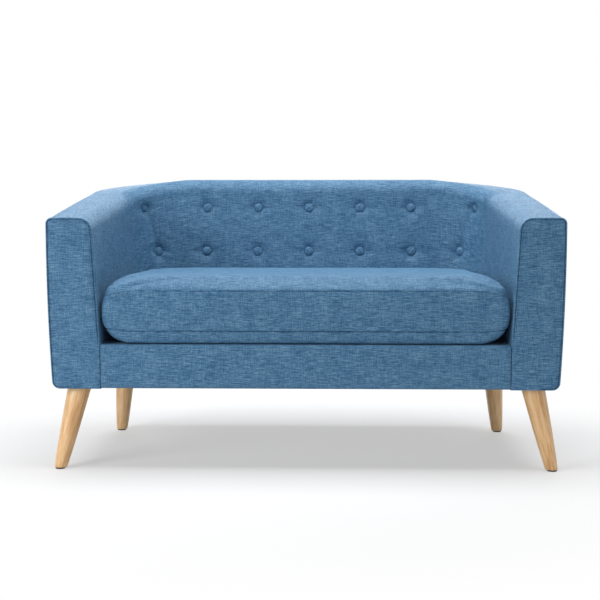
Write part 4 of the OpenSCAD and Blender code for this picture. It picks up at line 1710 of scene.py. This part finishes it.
    def _fill(self, cover: Piece) -> None:
        """Blow the cover up with Blender's cloth, held at its seams and underside.

        Args:
            cover: The cushion's cover.
        """
        filling, start = self.filling, self._points(cover)
        pins = cover.vertex_groups.new(name="seams")
        near = self._edge_share(start)
        for upper in (False, True):
            above = start[:, 2] - self._seam_z(start, upper)
            held = near * np.exp(-((above / self.voxel) ** 2))
            for index in np.nonzero(held > filling.least_pin)[0]:
                pins.add([int(index)], float(min(1.0, held[index])), "REPLACE")
        for index in np.nonzero(start[:, 2] < self.low + self.voxel / 2)[0]:
            pins.add([int(index)], 1.0, "REPLACE")
        cloth = cover.modifiers.new("filling", "CLOTH").settings
        cloth.quality, cloth.mass = filling.quality, filling.mass
        cloth.tension_stiffness = cloth.compression_stiffness = filling.stretch
        cloth.shear_stiffness, cloth.bending_stiffness = filling.shear, filling.bending
        cloth.use_pressure, cloth.uniform_pressure_force = True, filling.pressure
        cloth.effector_weights.gravity = 0.0
        cloth.vertex_group_mass = pins.name
        scene = bpy.context.scene
        for number in range(1, filling.frames + 1):
            scene.frame_set(number)
        self._apply(cover)
        scene.frame_set(1)
        moved = self._points(cover) - start
        length = np.linalg.norm(moved, axis=1, keepdims=True)
        LOG.info("cushion cloth moved up to %.1f mm", float(length.max()) / MM)
        share = np.minimum(1.0, filling.most_moved / np.maximum(length, TINY))
        self._put(cover, start + moved * share)

    def _nearest(self, places: np.ndarray) -> tuple[np.ndarray, np.ndarray]:
        """Find the outline's point nearest each place.

        Args:
            places: Rows of x, y and more.

        Returns:
            The nearest points' numbers, and the way to each place from its own.
        """
        edge = np.array(self.outline)
        numbers, ways = np.empty(len(places), dtype=int), np.empty((len(places), 2))
        for k in range(0, len(places), CHUNK):
            part = places[k : k + CHUNK, None, :2] - edge[None]
            nearest = (part**2).sum(axis=2).argmin(axis=1)
            numbers[k : k + CHUNK] = nearest
            ways[k : k + CHUNK] = part[np.arange(len(nearest)), nearest]
        return numbers, ways

    def _edge_share(self, places: np.ndarray) -> np.ndarray:
        """Share of the way from well inside the cushion, 0, to near its outer edge, 1."""
        inside = np.sqrt((self._nearest(places)[1] ** 2).sum(axis=1)) - self.side_in
        return np.exp(-((np.maximum(inside, 0.0) / self.edge_fade) ** 2))

    def _put(self, cover: Piece, places: np.ndarray) -> None:
        """Write vertex places back, kept between the walls and on the deck.

        Args:
            cover: The cushion's cover.
            places: Its vertices' new places, which this trims.
        """
        places[:, 2] = np.clip(places[:, 2], self.low, self.top + self.headroom)
        places[:, 1] = np.maximum(places[:, 1], self.front_y - self.swell)
        places[:, 1] = np.minimum(places[:, 1], self._rear_limit(places))
        back = np.clip((places[:, 1] - self.front_y) / (self.rear_y - self.front_y), 0, 1)
        room = self.plan.side - self.side_gap - self.plan.shape.arm_toe * back
        places[:, 0] = np.clip(places[:, 0], -room, room)
        cover.data.vertices.foreach_set("co", places.ravel())
        cover.data.update()

    def _rear_limit(self, places: np.ndarray) -> np.ndarray:
        """Limit how far back the cloth reaches: up to the wall, but behind the zip's tapes.

        Args:
            places: Rows of x, y and z.

        Returns:
            The furthest y at each place.
        """
        low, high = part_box("cushion_zip")
        up = np.abs(places[:, 2] - (low[2] + high[2]) / 2) - self.zip_w / 2
        along = np.abs(places[:, 0]) - self.zip_l / 2
        away = np.clip(np.maximum(up, along) / self.zip_draw, 0.0, 1.0)
        flush = low[1] - self.zip_proud
        return flush + (self.rear_y - flush) * away**2 * (3 - 2 * away)

    def _smooth(self, cover: Piece) -> None:
        """Ease the remeshed steps and divide each face once.

        Args:
            cover: The cushion's cover.
        """
        ease = cover.modifiers.new("ease", "SMOOTH")
        ease.factor, ease.iterations = 0.5, 3
        finer = cover.modifiers.new("finer", "SUBSURF")
        finer.levels = finer.render_levels = 1
        self._apply(cover)
        cover.data.polygons.foreach_set("use_smooth", [True] * len(cover.data.polygons))

    def _divide_seams(self, cover: Piece) -> None:
        """Divide the faces along the two seams more finely, so that they can be sewn sharply.

        Args:
            cover: The cushion's cover.
        """
        places = self._points(cover)
        near = self._edge_share(places) > 0.3
        heights = [self._seam_z(places, upper) for upper in (False, True)]
        mesh = bmesh.new()
        mesh.from_mesh(cover.data)
        mesh.verts.ensure_lookup_table()
        close = near & (np.minimum(*(np.abs(places[:, 2] - z) for z in heights)) < self.seam_band)
        edges = [edge for edge in mesh.edges if all(close[v.index] for v in edge.verts)]
        bmesh.ops.subdivide_edges(mesh, edges=edges, cuts=2, use_grid_fill=True)
        mesh.to_mesh(cover.data)
        mesh.free()
        cover.data.polygons.foreach_set("use_smooth", [True] * len(cover.data.polygons))

    def _sew(self, cover: Piece) -> None:
        """Sink the two seams round the border, with the small puckers of their stitches.

        Args:
            cover: The cushion's cover.
        """
        places = self._points(cover)
        middle = np.array([0.0, (self.front_y + self.rear_y) / 2])
        inward = middle - places[:, :2]
        aside = np.maximum(0.0, np.abs(inward[:, 0]) - self.even_sides)
        inward[:, 0] = np.sign(inward[:, 0]) * aside
        inward /= np.maximum(np.linalg.norm(inward, axis=1, keepdims=True), 1e-6)
        near = self._edge_share(places)
        run = self._perimeter(places)
        wave = sum(
            high * np.sin(run * math.tau / pitch + turn) for pitch, high, turn in self.pucker_waves
        )
        for upper in (False, True):
            across = (places[:, 2] - self._seam_z(places, upper)) / self.seam_half
            groove = near * np.exp(-(across**2))
            beside = near * np.exp(-((across / self.seam_reach) ** 2))
            depth = self.seam_sunk if upper else self.lower_seam_sunk
            sunk = depth * groove + self.pucker * beside * wave * 0.5
            places[:, :2] += inward * sunk[:, None]
        self._put(cover, places)

    def _perimeter(self, places: np.ndarray) -> np.ndarray:
        """Measure round the cushion.

        Args:
            places: Rows of x, y and more.

        Returns:
            Length round the outline up to each place's nearest point of it.
        """
        edge = np.array(self.outline)
        steps = np.linalg.norm(np.diff(edge, axis=0), axis=1)
        at = np.concatenate([[0.0], np.cumsum(steps)])
        tangent = np.roll(edge, -1, axis=0) - np.roll(edge, 1, axis=0)
        tangent /= np.linalg.norm(tangent, axis=1, keepdims=True)
        numbers, ways = self._nearest(places)
        return at[numbers] + (ways * tangent[numbers]).sum(axis=1)

    def _lay_cloth(self, cover: Piece) -> None:
        """Store the cloth's coordinates: flat across the top, along the border, up its height.

        Args:
            cover: The cushion's cover.
        """
        data, places = cover.data, self._points(cover)
        around = self._perimeter(places)
        loops = np.empty(len(data.loops), dtype=np.int32)
        data.loops.foreach_get("vertex_index", loops)
        sizes = np.empty(len(data.polygons), dtype=np.int32)
        data.polygons.foreach_get("loop_total", sizes)
        centres = np.empty(len(data.polygons) * 3)
        data.polygons.foreach_get("center", centres)
        centres = centres.reshape(-1, 3)
        above = centres[:, 2] > self._seam_z(centres, False)
        below = centres[:, 2] < self._seam_z(centres, True)
        border = np.repeat(above & below, sizes)
        at = self._flattened(places)[loops]
        at[border, 0], at[border, 1] = around[loops][border], places[loops][border, 2]
        layer = data.attributes.get(COVER_AT)
        layer = layer or data.attributes.new(COVER_AT, "FLOAT_VECTOR", "CORNER")
        layer.data.foreach_set("vector", at.astype(np.float32).ravel())

    def _flattened(self, places: np.ndarray) -> np.ndarray:
        """Unroll the crown's and belly's cloth from the edges' curves.

        Args:
            places: Rows of x, y and z.

        Returns:
            Where each place lies on the flat cloth.
        """
        mid = (self.front_y + self.rear_y) / 2
        from_side = np.maximum(self.plan.side - np.abs(places[:, 0]), 0.0)
        from_end = np.maximum((self.rear_y - self.front_y) / 2 - np.abs(places[:, 1] - mid), 0.0)
        endward = from_side**2 / (from_side**2 + from_end**2 + 1e-6)
        crown = np.maximum(self.seam_up + self.crown_up - places[:, 2], 0.0)
        belly = np.maximum(places[:, 2] - self.low, 0.0)
        fall = np.where(places[:, 2] > (self.seam_low + self.seam_up) / 2, crown, belly)
        out = places.copy()
        out[:, 0] += np.sign(places[:, 0]) * fall * (1 - endward)
        out[:, 1] += np.sign(places[:, 1] - mid) * fall * endward
        out[:, 2] = 0.0
        return out

    def _zip(self) -> list[Piece]:
        """Make the zip in the rear border: two tapes, a coil of teeth and the tapes' stitches.

        Returns:
            The tapes, the teeth and the threads.
        """
        low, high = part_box("cushion_zip")
        mid_z, y = (low[2] + high[2]) / 2, low[1]
        tapes, teeth, threads = Loft("zip_tapes"), Loft("zip_coil"), Loft("zip_threads")
        half, edge, face = self.zip_l / 2, self.zip_w / 2, self.tape_t
        lip = self.zip_lip
        outline = ((0.0, edge), (face * 0.9, edge - face), (face, lip), (0.0, lip))
        for side in (1, -1):
            tapes.rows([
                [Vector((x, y + d, mid_z + side * z)) for d, z in outline]
                for x in spaced(-half, half, 0.01)
            ])
            sewn_z = mid_z + side * (edge - self.zip_sewn_in)
            line = [Vector((x, y + face, sewn_z)) for x in spaced(-half, half, 0.02)]
            Stitching().sew(threads, line, lambda v: Vector((0.0, 1.0, 0.0)))
        for i in range(int(self.zip_l / self.tooth) - 2):
            x, side = -half + self.tooth * (i + 1), 1 if i % 2 else -1
            path = [
                Vector((x + self.tooth_lean * k, y + d, mid_z + z * side))
                for k, (z, d) in enumerate(self.tooth_turns)
            ]
            tube(teeth, path, self.tooth_r, 4)
        return [
            dress(tapes.done(), ZIP_TAPE, ("cushion_zip",), Body.CUSHION),
            dress(teeth.done(FINE_WELD), NYLON, (), Body.CUSHION),
            dress(threads.done(FINE_WELD), THREAD, (), Body.CUSHION),
        ]


@dataclass
class SeatDeck:
    """The stitched deck under the cushion, stretched over the springs."""

    plan: SeatPlan
    gap: float = 0.0014
    corner: float = 0.015
    edge_r: float = 0.005
    ease: float = 0.0015
    flush: float = 0.0002
    spring_pitch: float = 0.095
    spring_sink: float = 0.0011
    panel_seam: float = 0.085
    seam_w: float = 0.003
    seam_sunk: float = 0.0014
    thread_in: float = 0.02
    rings: int = 16
    ring_share: float = 0.06
    under_strip: float = 0.0009

    def build(self) -> list[Piece]:
        """Make and dress the deck and its threads.

        Returns:
            The deck and its threads.
        """
        low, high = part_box("deck_pad")
        front, top = low[1] + self.flush, high[2] - self.under_strip
        edge, shrunk = self.plan.outline(self.gap, front, self.corner), self.plan.shrunk
        loft = Loft("seat_deck_cloth")
        levels = (
            (edge, low[2] + 2 * self.flush), (edge, top - self.edge_r),
            (shrunk(edge, self.ease), top - self.ease),
            (shrunk(edge, self.edge_r), top - self.flush),
        )
        rings = [[loft.mesh.verts.new((x, y, z)) for x, y in points] for points, z in levels]
        loft.bands(rings)
        self._top(loft, rings[-1], top, self.plan.shape.front_y)
        deck = dress(loft.done(), DECK_CLOTH, ("deck_pad",))
        threads = Loft("seat_deck_threads")
        half = self.plan.side - self.thread_in
        seam_y = self.plan.shape.front_y + self.panel_seam + self.seam_w
        across, thread_z = spaced(-half, half, self.thread_in), top - 3 * self.flush
        line = [Vector((x, seam_y, thread_z)) for x in across]
        HEAVY_STITCHING.sew(threads, line, lambda v: Vector((0.0, 0.0, 1.0)))
        return [deck, dress(threads.done(FINE_WELD), THREAD)]

    def _top(self, loft: Loft, rim: Sequence[Vert], top: float, front: float) -> None:
        """Fill the deck's top in rings that dip between the springs and at the seam.

        Args:
            loft: Skin that the top is added to.
            rim: Vertices of the top's edge.
            top: Height of the top.
            front: Fore-and-aft place of the settee's front.
        """
        mid_y = (self.plan.shape.front_y + self.plan.rear) / 2
        rings = [list(rim)]
        for k in range(1, self.rings + 1):
            share = self.ring_share * k
            ring = []
            for v in rim:
                x, y = lerp(v.co.x, 0.0, share), lerp(v.co.y, mid_y, share)
                dip = self.spring_sink * 0.5 * (1 - math.cos(math.tau * x / self.spring_pitch))
                seam = self.seam_sunk * bell(y - front - self.panel_seam, self.seam_w)
                z = top - self.flush - dip * min(1.0, share * 5) - seam
                ring.append(loft.mesh.verts.new((x, y, z)))
            rings.append(ring)
        loft.bands(rings)
        loft.flat_face(rings[-1])


# Least half width of the underside, so that its cloth never closes to a line.
LEAST_SPAN = 0.02


@dataclass
class Underside:
    """The dust cover stretched under the frame, and its staples."""

    shape: TubShape
    inset: float = 0.0106
    grid: float = 0.012
    sag: float = 0.0006
    staple_pitch: float = 0.045
    staple_l: float = 0.010
    staple_t: float = 0.0006
    staple_in: float = 0.012
    driven: float = 0.0004
    cloth_up: float = 0.0005
    plate_half: float = 0.0243

    def build(self) -> list[Piece]:
        """Make and dress the dust cover and its staples.

        Returns:
            The dust cover and its staples.
        """
        low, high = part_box("dust_cover")
        outline, plates = self._outline(self.inset), self._plates()
        loft = Loft("dust_cover_cloth")
        nodes: dict[tuple[int, int], Vert] = {}
        columns, rows = (
            sorted({*spaced(low[k], high[k], self.grid), *(v[k] for box in plates for v in box)})
            for k in (0, 1)
        )
        spans = [self._span(outline, y) for y in rows]
        for j in range(len(rows) - 1):
            for i in range(len(columns) - 1):
                cell = [(i, j), (i + 1, j), (i + 1, j + 1), (i, j + 1)]
                middle = ((columns[i] + columns[i + 1]) / 2, (rows[j] + rows[j + 1]) / 2)
                half = min(spans[j], spans[j + 1])
                if abs(middle[0]) > half or any(self._inside(middle, box) for box in plates):
                    continue
                corners = []
                for a, b in cell:
                    if (a, b) not in nodes:
                        x, y = columns[a], rows[b]
                        x = math.copysign(min(abs(x), spans[b]), x)
                        wave = noise.noise(Vector((x * 6, y * 6, 4.0)))
                        z = low[2] + self.cloth_up + self.sag * 0.5 * wave
                        nodes[a, b] = loft.mesh.verts.new((x, y, z))
                    corners.append(nodes[a, b])
                loft.flat_face(corners)
        cover = dress(loft.done(), DUST_CLOTH, ("dust_cover",))
        return [cover, self._staples(low[2])]

    def _outline(self, inset: float) -> list[Pair]:
        """Draw the right half of the underside, from the front to the middle of the rear.

        Args:
            inset: Distance inside the wall's foot.

        Returns:
            The outline's points.
        """
        shape = self.shape
        places = [p / 20 for p in range(61)]
        points = [shape.place(p, shape.outer(p, shape.body_z) - inset, 0.0) for p in places]
        return [(v.x, v.y) for v in points]

    @staticmethod
    def _span(outline: Sequence[Pair], y: float) -> float:
        """Measure across the underside.

        Args:
            outline: Its right half's outline.
            y: Fore-and-aft place.

        Returns:
            Half the underside's width there.
        """
        best = outline[0][0] if y <= outline[0][1] else 0.0
        for (ax, ay), (bx, by) in zip(outline, outline[1:]):
            if min(ay, by) <= y <= max(ay, by) and abs(by - ay) > TINY:
                best = max(best, lerp(ax, bx, (y - ay) / (by - ay)))
        return max(best, LEAST_SPAN)

    def _plates(self) -> list[tuple[Pair, Pair]]:
        """Boxes round the leg plates that the cover is cut away for."""
        half, tops = self.plate_half, [foot.top for foot in FEET]
        return [((v.x - half, v.y - half), (v.x + half, v.y + half)) for v in tops]

    @staticmethod
    def _inside(point: Pair, box: tuple[Pair, Pair]) -> bool:
        """Whether a point lies in a box."""
        (x0, y0), (x1, y1) = box
        return x0 < point[0] < x1 and y0 < point[1] < y1

    def _staples(self, z: float) -> Piece:
        """Drive staples along the cover's edge, a finger's width inside it.

        Args:
            z: Height of the cover's face.

        Returns:
            The staples as one piece.
        """
        line = [Vector((x, y, z)) for x, y in self._outline(self.inset + self.staple_in)]
        line += [Vector((-v.x, v.y, v.z)) for v in reversed(line[:-1])]
        at = running(line)
        loft = Loft("dust_cover_staples")
        run = self.staple_pitch
        while run < at[-1] - self.staple_pitch:
            a = point_at(line, at, run - self.staple_l / 2)
            b = point_at(line, at, run + self.staple_l / 2)
            down, up = Vector((0.0, 0.0, -self.staple_t * 0.6)), Vector((0.0, 0.0, self.driven))
            tube(loft, [a + up, a + down, b + down, b + up], self.staple_t / 2, 4)
            run += self.staple_pitch
        return dress(loft.done(FINE_WELD), ZINC)


@dataclass
class TurnedLegs:
    """Four splayed, tapering legs, turned round their own leaning axes.

    Each is drawn a little over its length at both ends and then cut level.
    """

    top_d: float = 0.057
    foot_d: float = 0.028
    bulge: float = 0.72
    over: float = 0.02
    turns: int = 48
    step: float = 0.004

    def build(self) -> list[Piece]:
        """Make and dress the legs."""
        return [self._leg(foot) for foot in FEET]

    def _leg(self, foot: Foot) -> Piece:
        """Turn one leg, cut level where it meets its plate and its glide.

        Args:
            foot: Where it stands.

        Returns:
            The leg.
        """
        node = f"leg_{foot.name}"
        low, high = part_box(node)
        axis = (foot.top - foot.centre).normalized()
        length = (foot.top - foot.centre).length
        across = Vector((0.0, 0.0, 1.0)).cross(axis).normalized()
        other = axis.cross(across)
        loft = Loft(f"{node}_turned")
        rings = []
        for run in (-self.over, *spaced(0.0, length, self.step), length + self.over):
            share = clamp(run / length)
            r = lerp(self.foot_d, self.top_d, share**self.bulge) / 2
            middle, ring = foot.centre + axis * run, []
            for k in range(self.turns):
                a = math.tau * k / self.turns
                u, v = r * math.cos(a), r * math.sin(a)
                point = middle + across * u + other * v
                # Slid along the axis, so that the leg ends level at both ends.
                slide = (min(high[2], max(low[2], point.z)) - point.z) / axis.z
                ring.append((point + axis * slide, (u, v, run + slide)))
            rings.append(ring)
        verts = [[loft.mesh.verts.new(point) for point, _ in ring] for ring in rings]
        for j in range(len(rings) - 1):
            for k in range(self.turns):
                n = (k + 1) % self.turns
                cell = [(j, k), (j, n), (j + 1, n), (j + 1, k)]
                made = loft.mesh.faces.new([verts[a][b] for a, b in cell])
                made.smooth = True
                for loop, (a, b) in zip(made.loops, cell):
                    loop[loft.cover] = rings[a][b][1]
        for ring, points in ((list(reversed(verts[0])), rings[0]), (verts[-1], rings[-1])):
            made = loft.mesh.faces.new(ring)
            for loop in made.loops:
                loop[loft.cover] = (loop.vert.co.x, loop.vert.co.y, points[0][1][2])
        return dress(loft.done(), BEECH, (node,))


@dataclass(frozen=True)
class BarePart:
    """A frame node that shows as it is, with its finish and its record slot."""

    node: str
    finish: Finish
    slot: str


BARE_PARTS = (
    *(BarePart(node, SOFTWOOD, "frame_timber") for node in (
        "front_rail", "rear_rail", "side_rail_left", "side_rail_right", "centre_brace",
        "base_board_left", "base_board_right", "base_board_rear", "corner_blocks",
        "arm_posts_left", "arm_posts_right", "corner_post_left", "corner_post_right", "back_posts",
        "arm_top_rail_left", "arm_top_rail_right", "corner_top_rail_left", "corner_top_rail_right",
        "back_top_rail",
    )),
    *(BarePart(node, ZINC, "zinc_steel") for node in (
        "seat_springs", "spring_clips", "leg_plates", "hanger_bolts", "zip_slider",
    )),
    *(BarePart(node, HARDBOARD, "fibreboard") for node in ("arm_lining_left", "arm_lining_right")),
    BarePart("back_webbing", WEBBING, "webbing"),
    BarePart("foot_glides", NYLON, "glide_plastic"),
)


@dataclass
class BareFrame:
    """The timber, springs and fixings that keep the frame's own shapes."""

    parts: tuple[BarePart, ...] = BARE_PARTS

    def build(self) -> list[Piece]:
        """Put each part's finish on its frame node.

        Returns:
            The frame's nodes.
        """
        made = []
        for part in self.parts:
            node = frame["nodes"][part.node]
            node.data.materials.clear()
            node.data.materials.append(part.finish.material())
            made.append(node)
        return made


@dataclass
class Studio:
    """A pale floor, soft lamps and the camera of the photograph."""

    focal_px: float = 1158.46
    frame_px: int = 600
    sensor_mm: float = 36.0
    camera_at: Triple = (0.0609, -3.1446, 0.6427)
    yaw: float = 1.4846
    pitch: float = 4.542
    fill: float = 0.15
    floor_half: float = 9.0
    fade_from: float = 0.78
    fade_to: float = 1.35
    floor_glow: float = 0.42

    def build(self) -> list[Piece]:
        """Make the floor, the world, the lamps and the camera.

        Returns:
            The floor.
        """
        floor = self._floor()
        self._world()
        self._lamps()
        self._camera()
        bpy.context.scene.view_settings.view_transform = "Standard"
        return [floor]

    def _floor(self) -> Piece:
        """Lay a floor that keeps the shadow near the settee and is plain white beyond.

        Returns:
            The floor.
        """
        loft = Loft("studio_floor")
        half = self.floor_half
        loft.rows([[Vector((x, y, 0.0)) for y in (-half, half)] for x in (-half, half)])
        floor = loft.done()
        paint = bpy.data.materials.new("matt_white_floor_paint")
        paint.use_nodes = True
        tree = paint.node_tree
        tree.nodes.clear()
        place = add_node(tree, "NewGeometry").outputs["Position"]
        far = add_node(tree, "VectorMath", {0: place}, {"operation": "LENGTH"}).outputs["Value"]
        fade = add_node(tree, "MapRange", {
            "Value": far, "From Min": self.fade_from, "From Max": self.fade_to,
        }, {"interpolation_type": "SMOOTHSTEP"}).outputs["Result"]
        seen = add_node(tree, "LightPath").outputs["Is Camera Ray"]
        matt = add_node(tree, "BsdfDiffuse", {"Color": hex_colour("#f2f2f2")})
        grey = add_node(tree, "BsdfDiffuse", {"Color": hex_colour("#b1b1b1")})
        white = hex_colour("#ffffff")
        glow = add_node(tree, "Emission", {"Color": white, "Strength": self.floor_glow})
        lit = add_node(tree, "AddShader", {0: grey, 1: glow})
        plain = add_node(tree, "Emission", {"Color": white, "Strength": 1.0})
        share = add_node(tree, "Math", {0: fade, 1: seen}, {"operation": "MULTIPLY"})
        near = add_node(tree, "MixShader", {"Fac": seen, 1: matt, 2: lit})
        mixed = add_node(tree, "MixShader", {"Fac": share, 1: near, 2: plain})
        add_node(tree, "OutputMaterial", {"Surface": mixed})
        floor.data.materials.append(paint)
        return floor

    def _world(self) -> None:
        """White where it is seen or mirrored, a pale fill elsewhere."""
        world = bpy.data.worlds.new("studio_white")
        bpy.context.scene.world = world
        world.use_nodes = True
        tree = world.node_tree
        tree.nodes.clear()
        path = add_node(tree, "LightPath")
        camera, glossy = path.outputs["Is Camera Ray"], path.outputs["Is Glossy Ray"]
        seen = add_node(tree, "Math", {0: camera, 1: glossy}, {"operation": "MAXIMUM"})
        through = path.outputs["Is Transmission Ray"]
        shown = add_node(tree, "Math", {0: seen, 1: through}, {"operation": "MAXIMUM"})
        fill = add_node(tree, "Background", {"Color": hex_colour("#eef3f8"), "Strength": self.fill})
        white = add_node(tree, "Background", {"Color": hex_colour("#ffffff"), "Strength": 1.0})
        mixed = add_node(tree, "MixShader", {"Fac": shown, 1: fill, 2: white})
        add_node(tree, "OutputWorld", {"Surface": mixed})

    def _lamps(self) -> None:
        """Hang a broad soft light overhead, one front left, a weak one right and one behind."""
        self._lamp("overhead_softbox", (0.0, 0.1, 2.9), (0.0, 0.0, 0.3), (3.4, 2.0), 114.0)
        self._lamp("front_left_softbox", (-2.0, -2.0, 1.15), (0.0, -0.2, 0.35), (1.2, 1.2), 33.0)
        self._lamp("front_right_fill", (2.4, -2.6, 1.15), (0.0, 0.0, 0.35), (1.6, 1.6), 11.0)
        self._lamp("rear_softbox", (0.0, 2.6, 1.0), (0.0, 0.2, 0.2), (3.6, 1.3), 47.0)

    @staticmethod
    def _lamp(name: str, at: Triple, aim: Triple, size: Pair, power: float) -> None:
        """Add one area lamp.

        Args:
            name: The lamp's name.
            at: Where it hangs.
            aim: Point that it faces.
            size: Its width and height.
            power: Its power in watts.
        """
        data = bpy.data.lights.new(name, "AREA")
        data.shape, data.size, data.size_y, data.energy = "RECTANGLE", size[0], size[1], power
        lamp = bpy.data.objects.new(name, data)
        lamp.location, lamp.visible_camera = at, False
        lamp.rotation_euler = (Vector(aim) - Vector(at)).to_track_quat("-Z", "Y").to_euler()
        bpy.context.scene.collection.objects.link(lamp)

    def _camera(self) -> None:
        """The photograph's camera: low, a little right of the middle, turned slightly left."""
        data = bpy.data.cameras.new("photograph_camera")
        data.sensor_width = self.sensor_mm
        data.lens = self.focal_px / self.frame_px * self.sensor_mm
        camera = bpy.data.objects.new("photograph_camera", data)
        camera.location = self.camera_at
        camera.rotation_euler = (math.radians(90 - self.pitch), 0.0, math.radians(self.yaw))
        bpy.context.scene.collection.objects.link(camera)
        bpy.context.scene.camera = camera


def main() -> None:
    """Build the settee piece by piece, then the studio round it."""
    logging.basicConfig(level=logging.INFO, format="%(name)s: %(message)s")
    shape = TubShape.from_frame()
    tufting, plan = Tufting(shape), SeatPlan(shape)
    parts = (
        TubWalls(shape, tufting), FrontPanels(shape), CoveredButtons(tufting), SeatCushion(plan),
        SeatDeck(plan), Underside(shape), TurnedLegs(), BareFrame(), Studio(),
    )
    for part in parts:
        made = part.build()
        LOG.info("%s: %s", type(part).__name__, ", ".join(piece.name for piece in made))


if __name__ == "__main__":
    main()
